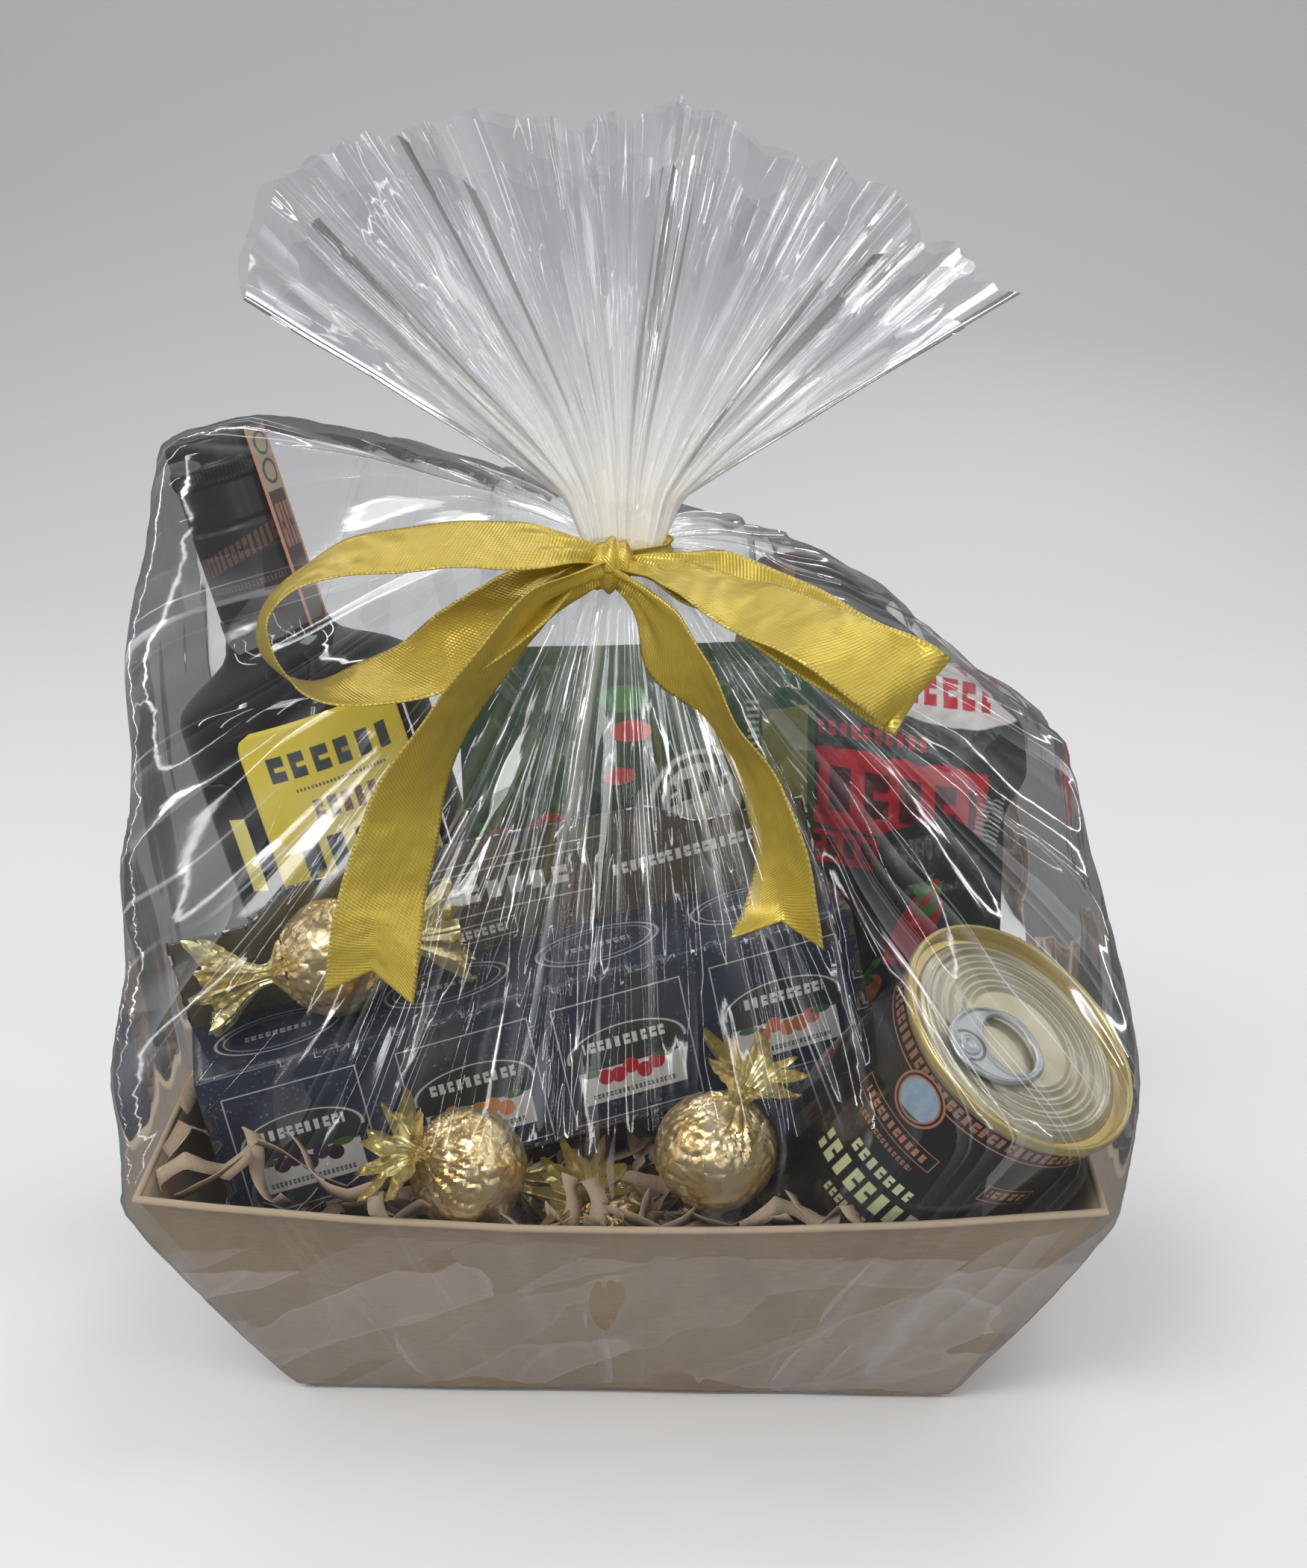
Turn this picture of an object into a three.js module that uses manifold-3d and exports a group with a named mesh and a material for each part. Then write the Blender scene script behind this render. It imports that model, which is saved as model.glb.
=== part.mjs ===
// A gift basket: a kraft board tray of bottle, can, carton, packs and foil sweets on shredded
// paper, wrapped in clear film that is gathered at a neck and tied there with a satin ribbon.
// Millimetres, +Z up, X to the right and Y to the back. The origin is the middle of the wrapped base.
import * as THREE from "three";
import { mergeVertices } from "three/addons/utils/BufferGeometryUtils.js";
import { ConvexHull } from "three/addons/math/ConvexHull.js";
import Module from "manifold-3d";

const manifold = await Module();
manifold.setup();

const V = (x, y, z) => new THREE.Vector3(x, y, z);
const UP = V(0, 0, 1);
const GAP = 0.35;

// Film: the sack is the hull of all it holds, pushed out from a centre by these two factors.
const FILM = {
  centre: V(0, 0, 120), inside: 1.006, outside: 1.016, wall: 0.8,
  neck: V(-1, -9, 250), neckRadius: 12, tieRadius: 10.5, tieHeight: 8, tieCut: 251.2, columns: 44,
  fanAngle: THREE.MathUtils.degToRad(57), fanReach: 111, fanTipReach: 3, fanPleat: 2.6, fanDepth: 24,
  lobeReach: 17, lobeAt: -0.7, lobeWidth: 0.3,
};
// Places where the slack film stands off what it wraps.
const FILM_CORNERS = [
  V(-146, 10, 228), V(-148, 0, 184), V(-137, -50, 146), V(130, 0, 184), V(142, -40, 130),
];

// The tray stands on the film, so its floor is as high as the film under it is thick.
const TRAY = {
  z: FILM.centre.z * (1 - 1 / FILM.outside), height: 82, baseX: 98, baseY: 64, rimX: 135, rimY: 96.5,
  dip: 10, bow: 7.5, wall: 1.5, lip: 1.1,
};
const RIM_Z = TRAY.z + TRAY.height;

// The bottle leans to the left: base is the middle of its foot and top the middle of its cap.
const BOTTLE = {
  base: V(-56, 28, 18.4), top: V(-132, 47, 271), radius: 39, capLength: 57, neckEnd: 66, shoulder: 84.5,
  neckRadius: 16.2, capRadius: 14.7, skirtRadius: 15.8, sides: 40,
};
const LABEL = { top: 88, bottom: 178, from: -22, to: 58, thickness: 0.4, corner: 5 };
const SIDE_LABEL = { top: 102, bottom: 176, from: -60, to: -31 };
const SEAL = { from: 49.5, to: 85.5, top: 1, bottom: 66, thickness: 0.4 };

// The carton's front top edge runs from its left to its right end.
const CARTON = {
  left: V(-124, -64.4, 101.8), right: V(67, -20.3, 141.6), height: 50, depth: 42,
  card: 1.2, lowEnd: 25, arch: 33, tilt: 3, cornerLeft: 22, cornerRight: 168,
};

const CAN = {
  lid: V(112.7, -74, 125.7), axis: V(0.5, -0.36, 0.788), length: 92, radius: 36.2, seam: 38, sides: 30,
};

// Flat pouches: outline points in the pouch's own plane, x to the right and y up, about its middle.
const PACKS = [
  {
    name: "soup_pack", at: V(3, 22, 148), turn: 13, lean: -3, depth: 7,
    outline: [[-57, 64], [57, 60], [55, -90], [-23, -90], [-38, -38], [-56, 6]],
  },
  {
    name: "pepper_pack", at: V(94, 22, 108), turn: 14, lean: -4, depth: 5,
    outline: [[-15, 42], [8, 46], [23, 34], [23, -52], [-23, -52], [-22, 6]],
  },
  {
    name: "peanut_pack", at: V(73, 52, 143), turn: 0, lean: -3, depth: 11,
    outline: [
      [-34, 88], [-16, 90], [20, 60], [53, 33], [55, 15], [48, 4], [49, -88], [-42, -90], [-46, 40],
    ],
  },
];

// Foil sweets: a ball, and a twist of foil at each end that runs from neck to mouth.
const SWEET = { radius: 17.2, neck: 3.4, mouth: 12, columns: 8, foil: 1.1 };
const SWEETS = [
  { at: V(-86.9, -33.5, 129.2), twists: [{ to: V(-37, -5, -9), bend: 0 }, { to: V(36, 6, 8), bend: 0 }] },
  {
    at: V(-44, -75, 82),
    twists: [{ to: V(-21, -2, 19), bend: -7 }, { to: V(20, 14, -14), bend: 0, mouth: 7 }],
  },
  {
    at: V(27, -75, 88.5),
    twists: [{ to: V(11, -3, 30), bend: -3 }, { to: V(-6, 20, -16), bend: 0, mouth: 7 }],
  },
  {
    at: V(-5, -59, 51),
    twists: [{ to: V(-7, -17, 27), bend: -2 }, { to: V(6, 22, -14), bend: 0, mouth: 7 }],
  },
];

// Satin ribbon. Each station is a middle point and the direction across the ribbon.
const RIBBON = {
  width: 25, thickness: 0.9, knot: V(-4, -29, 248), knotSize: V(7, 6, 7), gathered: 9, step: 9.5,
};
const LEFT_LOOP = [
  [-4, -29, 249, 0.1, 0.9, 0.3], [-11, -32, 253, 0.1, 0.95, 0.2], [-25, -38, 256, 0.25, 0.94, 0.2],
  [-55, -46, 257, -0.1, 0.94, 0.31], [-78, -51, 254, -0.15, 0.98, 0.09], [-91, -53, 248, -0.29, 0.95, -0.1],
  [-98, -55, 238, -0.28, 0.94, -0.2],
  [-97, -57, 228, -0.28, 0.93, -0.23], [-89, -57, 221, -0.2, 0.96, -0.2],
  [-74, -57, 220, -0.29, 0.95, -0.11],
  [-57, -53, 224, -0.52, 0.85, 0.01], [-44, -48, 231, -0.58, 0.81, 0.12],
  [-31, -41, 239, -0.61, 0.78, 0.14], [-15, -33, 247, -0.47, 0.87, 0.13], [-5, -29, 248, -0.3, 0.9, 0.2],
];
const RIGHT_LOOP = [
  [-3, -28, 247, 0.1, 0.9, 0.3], [10, -31, 248, 0.2, 0.93, 0.2], [23, -36, 246, 0.28, 0.83, 0.48],
  [36, -42, 242, 0.46, 0.75, 0.48], [51, -55, 236, 0.46, 0.6, 0.66], [64, -66, 231, 0.45, 0.51, 0.74],
  [76, -75, 226, 0.58, 0.1, 0.8], [79, -79, 226, 0.6, 0, 0.8], [73, -81, 231, 0.52, 0.5, 0.7],
  [60, -78, 238, 0.3, 0.8, 0.5], [48, -70, 242, 0.28, 0.89, 0.36], [33, -57, 245, 0.39, 0.9, 0.21],
  [22, -46, 248, 0.23, 0.97, 0.08], [13, -38, 249, 0.17, 0.98, 0.02], [-2, -29, 249, 0.1, 0.95, 0.1],
];
const LEFT_TAIL = [
  [-4, -31, 247, -0.3, -0.8, 0.4], [-10, -37, 245, -0.3, -0.83, 0.4], [-22, -45, 240, -0.44, -0.87, 0.22],
  [-34, -53, 228, -0.42, -0.88, 0.24],
  [-44, -55, 214.5, -0.42, -0.86, 0.25], [-55, -63, 197, -0.6, -0.76, 0.18],
  [-63, -72, 173.5, -0.85, -0.48, 0.2],
  [-66, -78, 159.5, -0.93, -0.28, 0.2], [-69, -84, 138.5, -0.99, 0, 0.14],
];
const RIGHT_TAIL = [
  [-3, -31, 246, 0.3, -0.85, 0.4], [4, -38, 241, 0.35, -0.84, 0.4], [12, -47, 230, 0.57, -0.74, 0.37],
  [22, -56, 220, 0.4, -0.82, 0.4], [31, -63, 207, 0.3, -0.9, 0.3], [39, -71, 194, 0.42, -0.87, 0.25],
  [44, -79, 180, 0.57, -0.75, 0.32], [44, -84, 166, 0.75, -0.5, 0.4], [43, -88, 158, 0.92, 0, 0.39],
];
const BAND = { radius: 13.4, height: 8, lift: 1.2, sides: 24 };

// Shredded paper: a bumpy bed, with the strips that show fused to it.
const SHRED = {
  top: 62, bump: 5, backRise: 7, cellsX: 13, cellsY: 9, inset: 2.4, stripWidth: 5, stripThickness: 0.9,
  stripSteps: 5,
};
// Each strip is an arch: its middle on the bed, its span, its rise and the way it runs, in degrees.
const STRIPS = [
  [-96, -66, 62, 46, 17, 8], [-112, -56, 60, 30, 19, 60], [-118, -30, 60, 34, 16, 95],
  [-112, 20, 60, 40, 14, 80], [-70, -76, 60, 30, 12, -14], [-22, -80, 62, 26, 14, 20],
  [4, -78, 62, 24, 15, -30], [50, -80, 62, 28, 13, 10], [112, -8, 60, 34, 18, 70],
  [116, 34, 60, 36, 17, 100], [100, 68, 60, 40, 15, 30], [30, 84, 60, 44, 13, 5],
  [-30, 84, 60, 44, 15, -10], [-96, 76, 60, 36, 16, -40], [8, 78, 62, 34, 16, 40], [-4, 50, 62, 40, 12, 60],
];

const LOOKS = {
  film: [0xe8ecec, 0.12], kraft: [0xb39372, 0.85], shred: [0xb08d68, 0.9], glass: [0x0b0b0c, 0.12],
  cap: [0x141416, 0.4], label: [0xe6d24a, 0.5], seal: [0xc98f6c, 0.7], card: [0x1b1f2a, 0.35],
  can: [0x151413, 0.35], tin: [0xb59b54, 0.3, 1], ring: [0x9fa09c, 0.35, 1], pack: [0x1d2a22, 0.35],
  foil: [0xc99a3c, 0.3, 1], ribbon: [0xc9a61c, 0.45],
};

const basket = new THREE.Group();

function add(name, geometry, look, parent = basket) {
  const [color, roughness, metalness = 0] = LOOKS[look];
  const mesh = new THREE.Mesh(geometry, new THREE.MeshStandardMaterial({ color, roughness, metalness }));
  mesh.name = name;
  parent.add(mesh);
  return mesh;
}

// Turns the faces of a closed geometry outwards.
function outward(geometry) {
  const p = geometry.attributes.position;
  const index = geometry.index.array;
  const [a, b, c] = [V(), V(), V()];
  let volume = 0;
  for (let i = 0; i < index.length; i += 3) {
    a.fromBufferAttribute(p, index[i]);
    b.fromBufferAttribute(p, index[i + 1]);
    c.fromBufferAttribute(p, index[i + 2]);
    volume += a.dot(b.cross(c));
  }
  if (volume < 0) {
    for (let i = 0; i < index.length; i += 3) [index[i], index[i + 1]] = [index[i + 1], index[i]];
  }
  return geometry;
}

// Welds a geometry class's mesh into one closed body without empty triangles.
function welded(source) {
  source.deleteAttribute("normal");
  source.deleteAttribute("uv");
  const geometry = mergeVertices(source, 1e-3);
  const index = geometry.index.array;
  const kept = [];
  for (let i = 0; i < index.length; i += 3) {
    const [a, b, c] = [index[i], index[i + 1], index[i + 2]];
    if (a !== b && b !== c && c !== a) kept.push(a, b, c);
  }
  geometry.setIndex(kept);
  return outward(geometry);
}

// A closed body from rings of points with a pole at each end. Without poles the rings close on themselves.
function ringBody(rings, firstPole = null, lastPole = null) {
  const count = rings[0].length;
  const points = rings.flat();
  const index = [];
  const at = (row, k) => (row % rings.length) * count + (k % count);
  const bands = firstPole ? rings.length - 1 : rings.length;
  for (let row = 0; row < bands; row++) {
    for (let k = 0; k < count; k++) {
      const [a, b, c, d] = [at(row, k), at(row, k + 1), at(row + 1, k + 1), at(row + 1, k)];
      index.push(a, b, c, a, c, d);
    }
  }
  if (firstPole) {
    const [first, last] = [points.length, points.length + 1];
    points.push(firstPole, lastPole);
    for (let k = 0; k < count; k++) {
      index.push(first, at(0, k + 1), at(0, k), last, at(rings.length - 1, k), at(rings.length - 1, k + 1));
    }
  }
  const geometry = new THREE.BufferGeometry().setFromPoints(points);
  geometry.setIndex(index);
  return outward(geometry);
}

function toSolid(geometry) {
  const vertProperties = new Float32Array(geometry.attributes.position.array);
  const triVerts = new Uint32Array(geometry.index.array);
  return new manifold.Manifold(new manifold.Mesh({ numProp: 3, vertProperties, triVerts }));
}

function toGeometry(solid) {
  const mesh = solid.getMesh();
  const geometry = new THREE.BufferGeometry();
  geometry.setAttribute("position", new THREE.BufferAttribute(new Float32Array(mesh.vertProperties), 3));
  geometry.setIndex(Array.from(mesh.triVerts));
  return geometry;
}

const joined = (geometries) => geometries.map(toSolid).reduce((all, next) => all.add(next));

// A copy of a mesh's geometry in the basket's frame.
function inPlace(mesh) {
  mesh.updateWorldMatrix(true, false);
  return mesh.geometry.clone().applyMatrix4(mesh.matrixWorld);
}

// A round body turned about Z, from (radius, height) points whose first and last lie on the axis.
function turned(profile, sides, startDegrees = 0) {
  const points = profile.map(([radius, height]) => new THREE.Vector2(radius, height));
  const geometry = new THREE.LatheGeometry(points, sides, THREE.MathUtils.degToRad(startDegrees));
  return welded(geometry.rotateX(Math.PI / 2));
}

// A group whose own Z runs along an axis and whose own -Y stays to the front.
function standAlong(origin, axis) {
  const group = new THREE.Group();
  group.position.copy(origin);
  group.quaternion.setFromUnitVectors(UP, axis.clone().normalize());
  basket.add(group);
  return group;
}

// A rectangle's outline, anticlockwise from the middle of its right side, with the sides divided.
function rectangle(halfX, halfY, alongX, alongY) {
  const corners = [[halfX, halfY], [-halfX, halfY], [-halfX, -halfY], [halfX, -halfY], [halfX, halfY]];
  const points = [];
  for (let side = 0; side < 4; side++) {
    const [from, to] = [corners[side], corners[side + 1]];
    const parts = side % 2 ? alongY : alongX;
    for (let i = 0; i < parts; i++) {
      points.push([from[0] + (to[0] - from[0]) * i / parts, from[1] + (to[1] - from[1]) * i / parts]);
    }
  }
  return points;
}

// The tray: flared board walls with a rolled lip, dipping in the middle of the long sides.
function trayBody() {
  const [alongX, alongY] = [10, 4];
  const ring = (halfX, halfY, height, dip = 0, bow = 0) => rectangle(halfX, halfY, alongX, alongY)
    .map(([x, y], i) => {
      const longSide = i <= alongX || (i >= alongX + alongY && i <= 2 * alongX + alongY);
      const sag = longSide ? dip * (1 - (x / halfX) ** 2) : 0;
      const bulge = longSide ? 0 : bow * (1 - (y / halfY) ** 2);
      const inwards = sag * (TRAY.rimY - TRAY.baseY) / TRAY.height;
      return V(x + Math.sign(x) * bulge, y - Math.sign(y) * inwards, height - sag);
    });
  const { z, baseX, baseY, rimX, rimY, wall, lip, dip, bow } = TRAY;
  const middle = [(baseX + rimX) / 2, (baseY + rimY) / 2, z + TRAY.height / 2];
  return ringBody([
    ring(baseX, baseY, z),
    ring(...middle, 0, bow),
    ring(rimX - lip, rimY - lip, RIM_Z - 4, dip),
    ring(rimX + lip, rimY + lip, RIM_Z - 3, dip),
    ring(rimX + lip, rimY + lip, RIM_Z - 0.6, dip),
    ring(rimX - wall, rimY - wall, RIM_Z, dip),
    ring(middle[0] - wall, middle[1] - wall, middle[2] + 1, 0, bow),
    ring(baseX - wall, baseY - wall, z + wall),
  ], V(0, 0, z), V(0, 0, z + wall));
}

// A curved sheet on a round body: angles in degrees from the front, to the right positive.
function aroundBottle(radius, thickness, from, to, low, high, corner) {
  const step = 360 / BOTTLE.sides;
  const columns = Math.round(Math.abs(to - from) / step);
  const rings = [];
  for (let i = 0; i <= columns; i++) {
    const angle = THREE.MathUtils.degToRad(from + (to - from) * i / columns);
    const inset = i === 0 || i === columns ? corner : 0;
    const at = (r, z) => V(Math.sin(angle) * r, -Math.cos(angle) * r, z);
    rings.push([
      at(radius, low + inset), at(radius + thickness, low + inset),
      at(radius + thickness, high - inset), at(radius, high - inset),
    ]);
  }
  const middle = (ring) => ring.reduce((sum, p) => sum.add(p), V(0, 0, 0)).divideScalar(ring.length);
  return ringBody(rings, middle(rings[0]), middle(rings[columns]));
}

function addBottle() {
  const { base, top, radius, sides, neckRadius } = BOTTLE;
  const axis = top.clone().sub(base);
  const length = axis.length();
  const group = standAlong(base, axis);
  const half = 180 / sides;
  add("bottle", turned([
    [0, 3], [radius - 8, 0], [radius - 2, 1.2], [radius, 4], [radius, length - BOTTLE.shoulder],
    [radius - 1.5, length - BOTTLE.shoulder + 3.5], [28, length - 76], [21, length - 71],
    [neckRadius + 1, length - BOTTLE.neckEnd], [neckRadius, length - BOTTLE.neckEnd + 2],
    [neckRadius, length - BOTTLE.capLength - GAP],
    [0, length - BOTTLE.capLength - GAP],
  ], sides, half), "glass", group);
  const { capRadius, skirtRadius, capLength } = BOTTLE;
  add("bottle_cap", turned([
    [0, length - capLength], [skirtRadius, length - capLength], [skirtRadius, length - 30],
    [capRadius + 0.4, length - 27], [capRadius + 0.4, length - 14.5], [capRadius + 0.8, length - 14],
    [capRadius + 0.8, length - 9], [capRadius, length - 8.5], [capRadius, length - 1.4],
    [capRadius - 1.2, length], [0, length],
  ], sides, half), "cap", group);
  const skin = radius + GAP;
  const label = (name, from, to, range) => add(name, aroundBottle(skin, LABEL.thickness, from, to,
    length - range.bottom, length - range.top, LABEL.corner), "label", group);
  label("bottle_label", LABEL.from, LABEL.to, LABEL);
  label("bottle_side_label", SIDE_LABEL.from, SIDE_LABEL.to, SIDE_LABEL);
  add("bottle_seal", aroundBottle(neckRadius + 1 + GAP, SEAL.thickness, SEAL.from, SEAL.to,
    length - SEAL.bottom, length - SEAL.top, 0), "seal", group);
}

// The carton's own frame: x along its length, y to its back and z up, at its front lower left corner.
function cartonMatrix() {
  const x = CARTON.right.clone().sub(CARTON.left).normalize();
  const z = UP.clone().addScaledVector(x, -x.z).normalize();
  const y = z.clone().cross(x);
  const corner = CARTON.left.clone().addScaledVector(z, -CARTON.height);
  return new THREE.Matrix4().makeBasis(x, y, z).setPosition(corner);
}

const CARTON_LENGTH = CARTON.right.distanceTo(CARTON.left);

// The header card behind the carton's top: low ends, a step up on an S-curve, and a shallow arch.
function headerShape() {
  const { height, lowEnd, arch, tilt, cornerLeft, cornerRight } = CARTON;
  const sunk = 1;
  const rise = (x, h) => height + h + tilt * (1 - x / 100);
  const shape = new THREE.Shape();
  shape.moveTo(0, height - sunk);
  shape.lineTo(CARTON_LENGTH, height - sunk);
  shape.lineTo(CARTON_LENGTH, rise(CARTON_LENGTH, lowEnd));
  shape.lineTo(cornerRight, rise(cornerRight, lowEnd));
  const [rightTop, leftTop] = [cornerRight - 18, cornerLeft + 18];
  const crown = (rightTop + leftTop) / 2;
  shape.bezierCurveTo(cornerRight - 7, rise(cornerRight, lowEnd), rightTop + 5, rise(rightTop, arch - 2),
    rightTop, rise(rightTop, arch));
  shape.quadraticCurveTo(crown, rise(crown, arch + 3), leftTop, rise(leftTop, arch));
  shape.bezierCurveTo(leftTop - 5, rise(leftTop, arch - 2), cornerLeft + 7, rise(cornerLeft, lowEnd),
    cornerLeft, rise(cornerLeft, lowEnd));
  shape.lineTo(0, rise(0, lowEnd));
  return shape;
}

function addCarton() {
  const { depth, height, card } = CARTON;
  const box = new THREE.BoxGeometry(CARTON_LENGTH, depth, height)
    .translate(CARTON_LENGTH / 2, depth / 2, height / 2);
  const header = new THREE.ExtrudeGeometry(headerShape(), {
    depth: card, bevelEnabled: false, curveSegments: 6,
  });
  header.rotateX(Math.PI / 2).translate(0, depth, 0);
  const body = toGeometry(joined([welded(box), welded(header)]));
  const mesh = add("spread_carton", body, "card");
  cartonMatrix().decompose(mesh.position, mesh.quaternion, mesh.scale);
  return mesh;
}

function addCan() {
  const { lid, axis, length, radius, seam, sides } = CAN;
  const direction = axis.clone().normalize();
  const group = standAlong(lid.clone().addScaledVector(direction, -length), direction);
  const end = length - 3.2;
  add("can_body", turned([
    [0, 2.4], [seam - 4, 2.4], [seam - 3, 0], [seam, 0], [seam, 2.8], [radius, 3.8], [radius, end - GAP],
    [0, end - GAP],
  ], sides), "can", group);
  add("can_lid", turned([
    [0, end], [seam - 0.4, end], [seam, end + 0.6], [seam, length - 0.5], [seam - 0.7, length],
    [seam - 1.5, length - 0.4], [seam - 2.2, length - 2.6], [31.5, length - 2.6], [30.5, length - 1.6],
    [28, length - 2.1], [24, length - 2.1], [22.5, length - 1.5], [21, length - 2.1], [0, length - 2.1],
  ], sides), "tin", group);
  add("can_ring", ringPull(), "ring", group).position.z = length - 1.5 + GAP;
}

// The ring pull: a rounded tab with a finger hole, wider at the lifting end and narrow at the nose.
function ringPull() {
  const shape = new THREE.Shape();
  const [nose, tail, half, turn] = [-15, 17.5, 12.5, 30];
  shape.moveTo(nose, -6);
  shape.lineTo(nose + 9, -half);
  shape.lineTo(tail - 8, -half);
  shape.quadraticCurveTo(tail, -half, tail, 0);
  shape.quadraticCurveTo(tail, half, tail - 8, half);
  shape.lineTo(nose + 9, half);
  shape.lineTo(nose, 6);
  shape.quadraticCurveTo(nose - 3, 0, nose, -6);
  const hole = new THREE.Path();
  hole.absellipse(7, 0, 7, 9.2, 0, Math.PI * 2, true);
  shape.holes.push(hole);
  const geometry = new THREE.ExtrudeGeometry(shape, { depth: 1.3, bevelEnabled: false, curveSegments: 5 });
  return welded(geometry.rotateZ(THREE.MathUtils.degToRad(turn)).translate(-10, -10, 0));
}

// A pouch: rings shrink from its outline to its middle, and its skin swells inside a flat seam.
function pouchBody(outline, depth, grow = 0) {
  const edge = new THREE.Path(outline.map(([x, y]) => new THREE.Vector2(x, y))).closePath();
  const rim = edge.getSpacedPoints(26).slice(0, -1);
  const seam = 0.45 + grow;
  const steps = [1 + grow * 0.05, 0.9, 0.72, 0.45];
  const swell = (r) => seam + depth * Math.sqrt(Math.max(0, 1 - (Math.min(r, 0.9) / 0.9) ** 2));
  const ring = (r, side) => rim.map((p) => V(p.x * r, side * swell(r), p.y * r));
  const rings = [...steps.map((r) => ring(r, -1)).reverse(), ...steps.map((r) => ring(r, 1))];
  return ringBody(rings, V(0, -swell(0), 0), V(0, swell(0), 0));
}

function placePack(mesh, pack) {
  mesh.position.copy(pack.at);
  mesh.rotation.set(THREE.MathUtils.degToRad(pack.lean), 0, THREE.MathUtils.degToRad(pack.turn), "ZYX");
  return mesh;
}

// One twist of foil on a sweet: it leaves the ball, narrows to a neck and opens into a mouth.
function twistBody(centre, twist) {
  const along = twist.to.clone();
  const reach = along.length();
  along.normalize();
  const side = along.clone().cross(Math.abs(along.z) < 0.8 ? UP : V(1, 0, 0)).normalize();
  const across = along.clone().cross(side);
  const { radius, neck, columns, foil } = SWEET;
  const mouth = twist.mouth ?? SWEET.mouth;
  const halfway = (radius + reach) / 2;
  const rows = [
    [radius * 0.72, 7.5], [radius + 1.5, neck], [radius + 4.5, neck], [halfway + 2, mouth * 0.7],
    [reach, mouth], [reach + 0.5, mouth - foil], [halfway + 3, mouth * 0.7 - foil],
    [radius + 7, neck - foil],
  ];
  const rings = rows.map(([distance, size], row) => {
    const share = (distance - radius) / (reach - radius);
    const middle = centre.clone().addScaledVector(along, distance);
    middle.y += twist.bend * Math.max(0, share) ** 2;
    const ring = [];
    for (let k = 0; k < columns; k++) {
      const angle = k / columns * Math.PI * 2;
      const ruffle = row > 2 && row < 7 ? 1 + (k % 2 ? 0.1 : -0.1) : 1;
      ring.push(middle.clone()
        .addScaledVector(side, Math.cos(angle) * size * ruffle)
        .addScaledVector(across, Math.sin(angle) * size * ruffle));
    }
    return ring;
  });
  const deepest = centre.clone().addScaledVector(along, radius + 6);
  return ringBody(rings, centre.clone().addScaledVector(along, radius * 0.6), deepest);
}

function sweetBody({ at, twists }) {
  const ball = new THREE.SphereGeometry(SWEET.radius, 12, 7).rotateX(Math.PI / 2)
    .translate(at.x, at.y, at.z);
  return toGeometry(joined([welded(ball), ...twists.map((twist) => twistBody(at, twist))]));
}

// A strip of ribbon through its stations: a thin four-sided section, narrow where the knot gathers it.
function ribbonBody(stations, gatheredEnds, notch = 0) {
  const middle = new THREE.CatmullRomCurve3(stations.map(([x, y, z]) => V(x, y, z)));
  const across = new THREE.CatmullRomCurve3(stations.map(([, , , x, y, z]) => V(x, y, z)));
  const steps = Math.round(middle.getLength() / RIBBON.step);
  const rings = [];
  for (let i = 0; i <= steps; i++) {
    const t = i / steps;
    const run = t * middle.getLength();
    const left = (1 - t) * middle.getLength();
    const fromKnot = gatheredEnds === 2 ? Math.min(run, left) : run;
    const spread = THREE.MathUtils.smoothstep(fromKnot, 0, 26);
    const half = (RIBBON.gathered + (RIBBON.width - RIBBON.gathered) * spread) / 2;
    const tangent = middle.getTangent(t);
    const width = across.getPoint(t);
    width.addScaledVector(tangent, -width.dot(tangent)).normalize();
    const normal = tangent.clone().cross(width).multiplyScalar(RIBBON.thickness / 2);
    const centre = middle.getPoint(t);
    const at = (w, n) => centre.clone().addScaledVector(width, w * half).addScaledVector(normal, n);
    rings.push([at(-1, -1), at(0, -1), at(1, -1), at(1, 1), at(0, 1), at(-1, 1)]);
  }
  if (notch) {
    const back = middle.getTangent(1).multiplyScalar(-notch);
    rings[steps][1].add(back);
    rings[steps][4].add(back);
  }
  const pole = (ring) => ring[1].clone().add(ring[4]).divideScalar(2);
  return ringBody(rings, pole(rings[0]), pole(rings[steps]));
}

function bowBody() {
  const { knot, knotSize } = RIBBON;
  const lump = new THREE.SphereGeometry(1, 12, 8).scale(knotSize.x, knotSize.y, knotSize.z)
    .translate(knot.x, knot.y, knot.z);
  const [inner, outer, half] = [BAND.radius, BAND.radius + 1.4, BAND.height / 2];
  const section = [[inner, -half], [outer, -half], [outer, half], [inner, half], [inner, -half]];
  const points = section.map(([radius, height]) => new THREE.Vector2(radius, height));
  const band = new THREE.LatheGeometry(points, BAND.sides).rotateX(Math.PI / 2)
    .translate(FILM.neck.x, FILM.neck.y, FILM.neck.z + BAND.lift);
  return toGeometry(joined([
    welded(band), welded(lump), ribbonBody(LEFT_LOOP, 2), ribbonBody(RIGHT_LOOP, 2),
    ribbonBody(LEFT_TAIL, 1, 8), ribbonBody(RIGHT_TAIL, 1, 8),
  ]));
}

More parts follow.
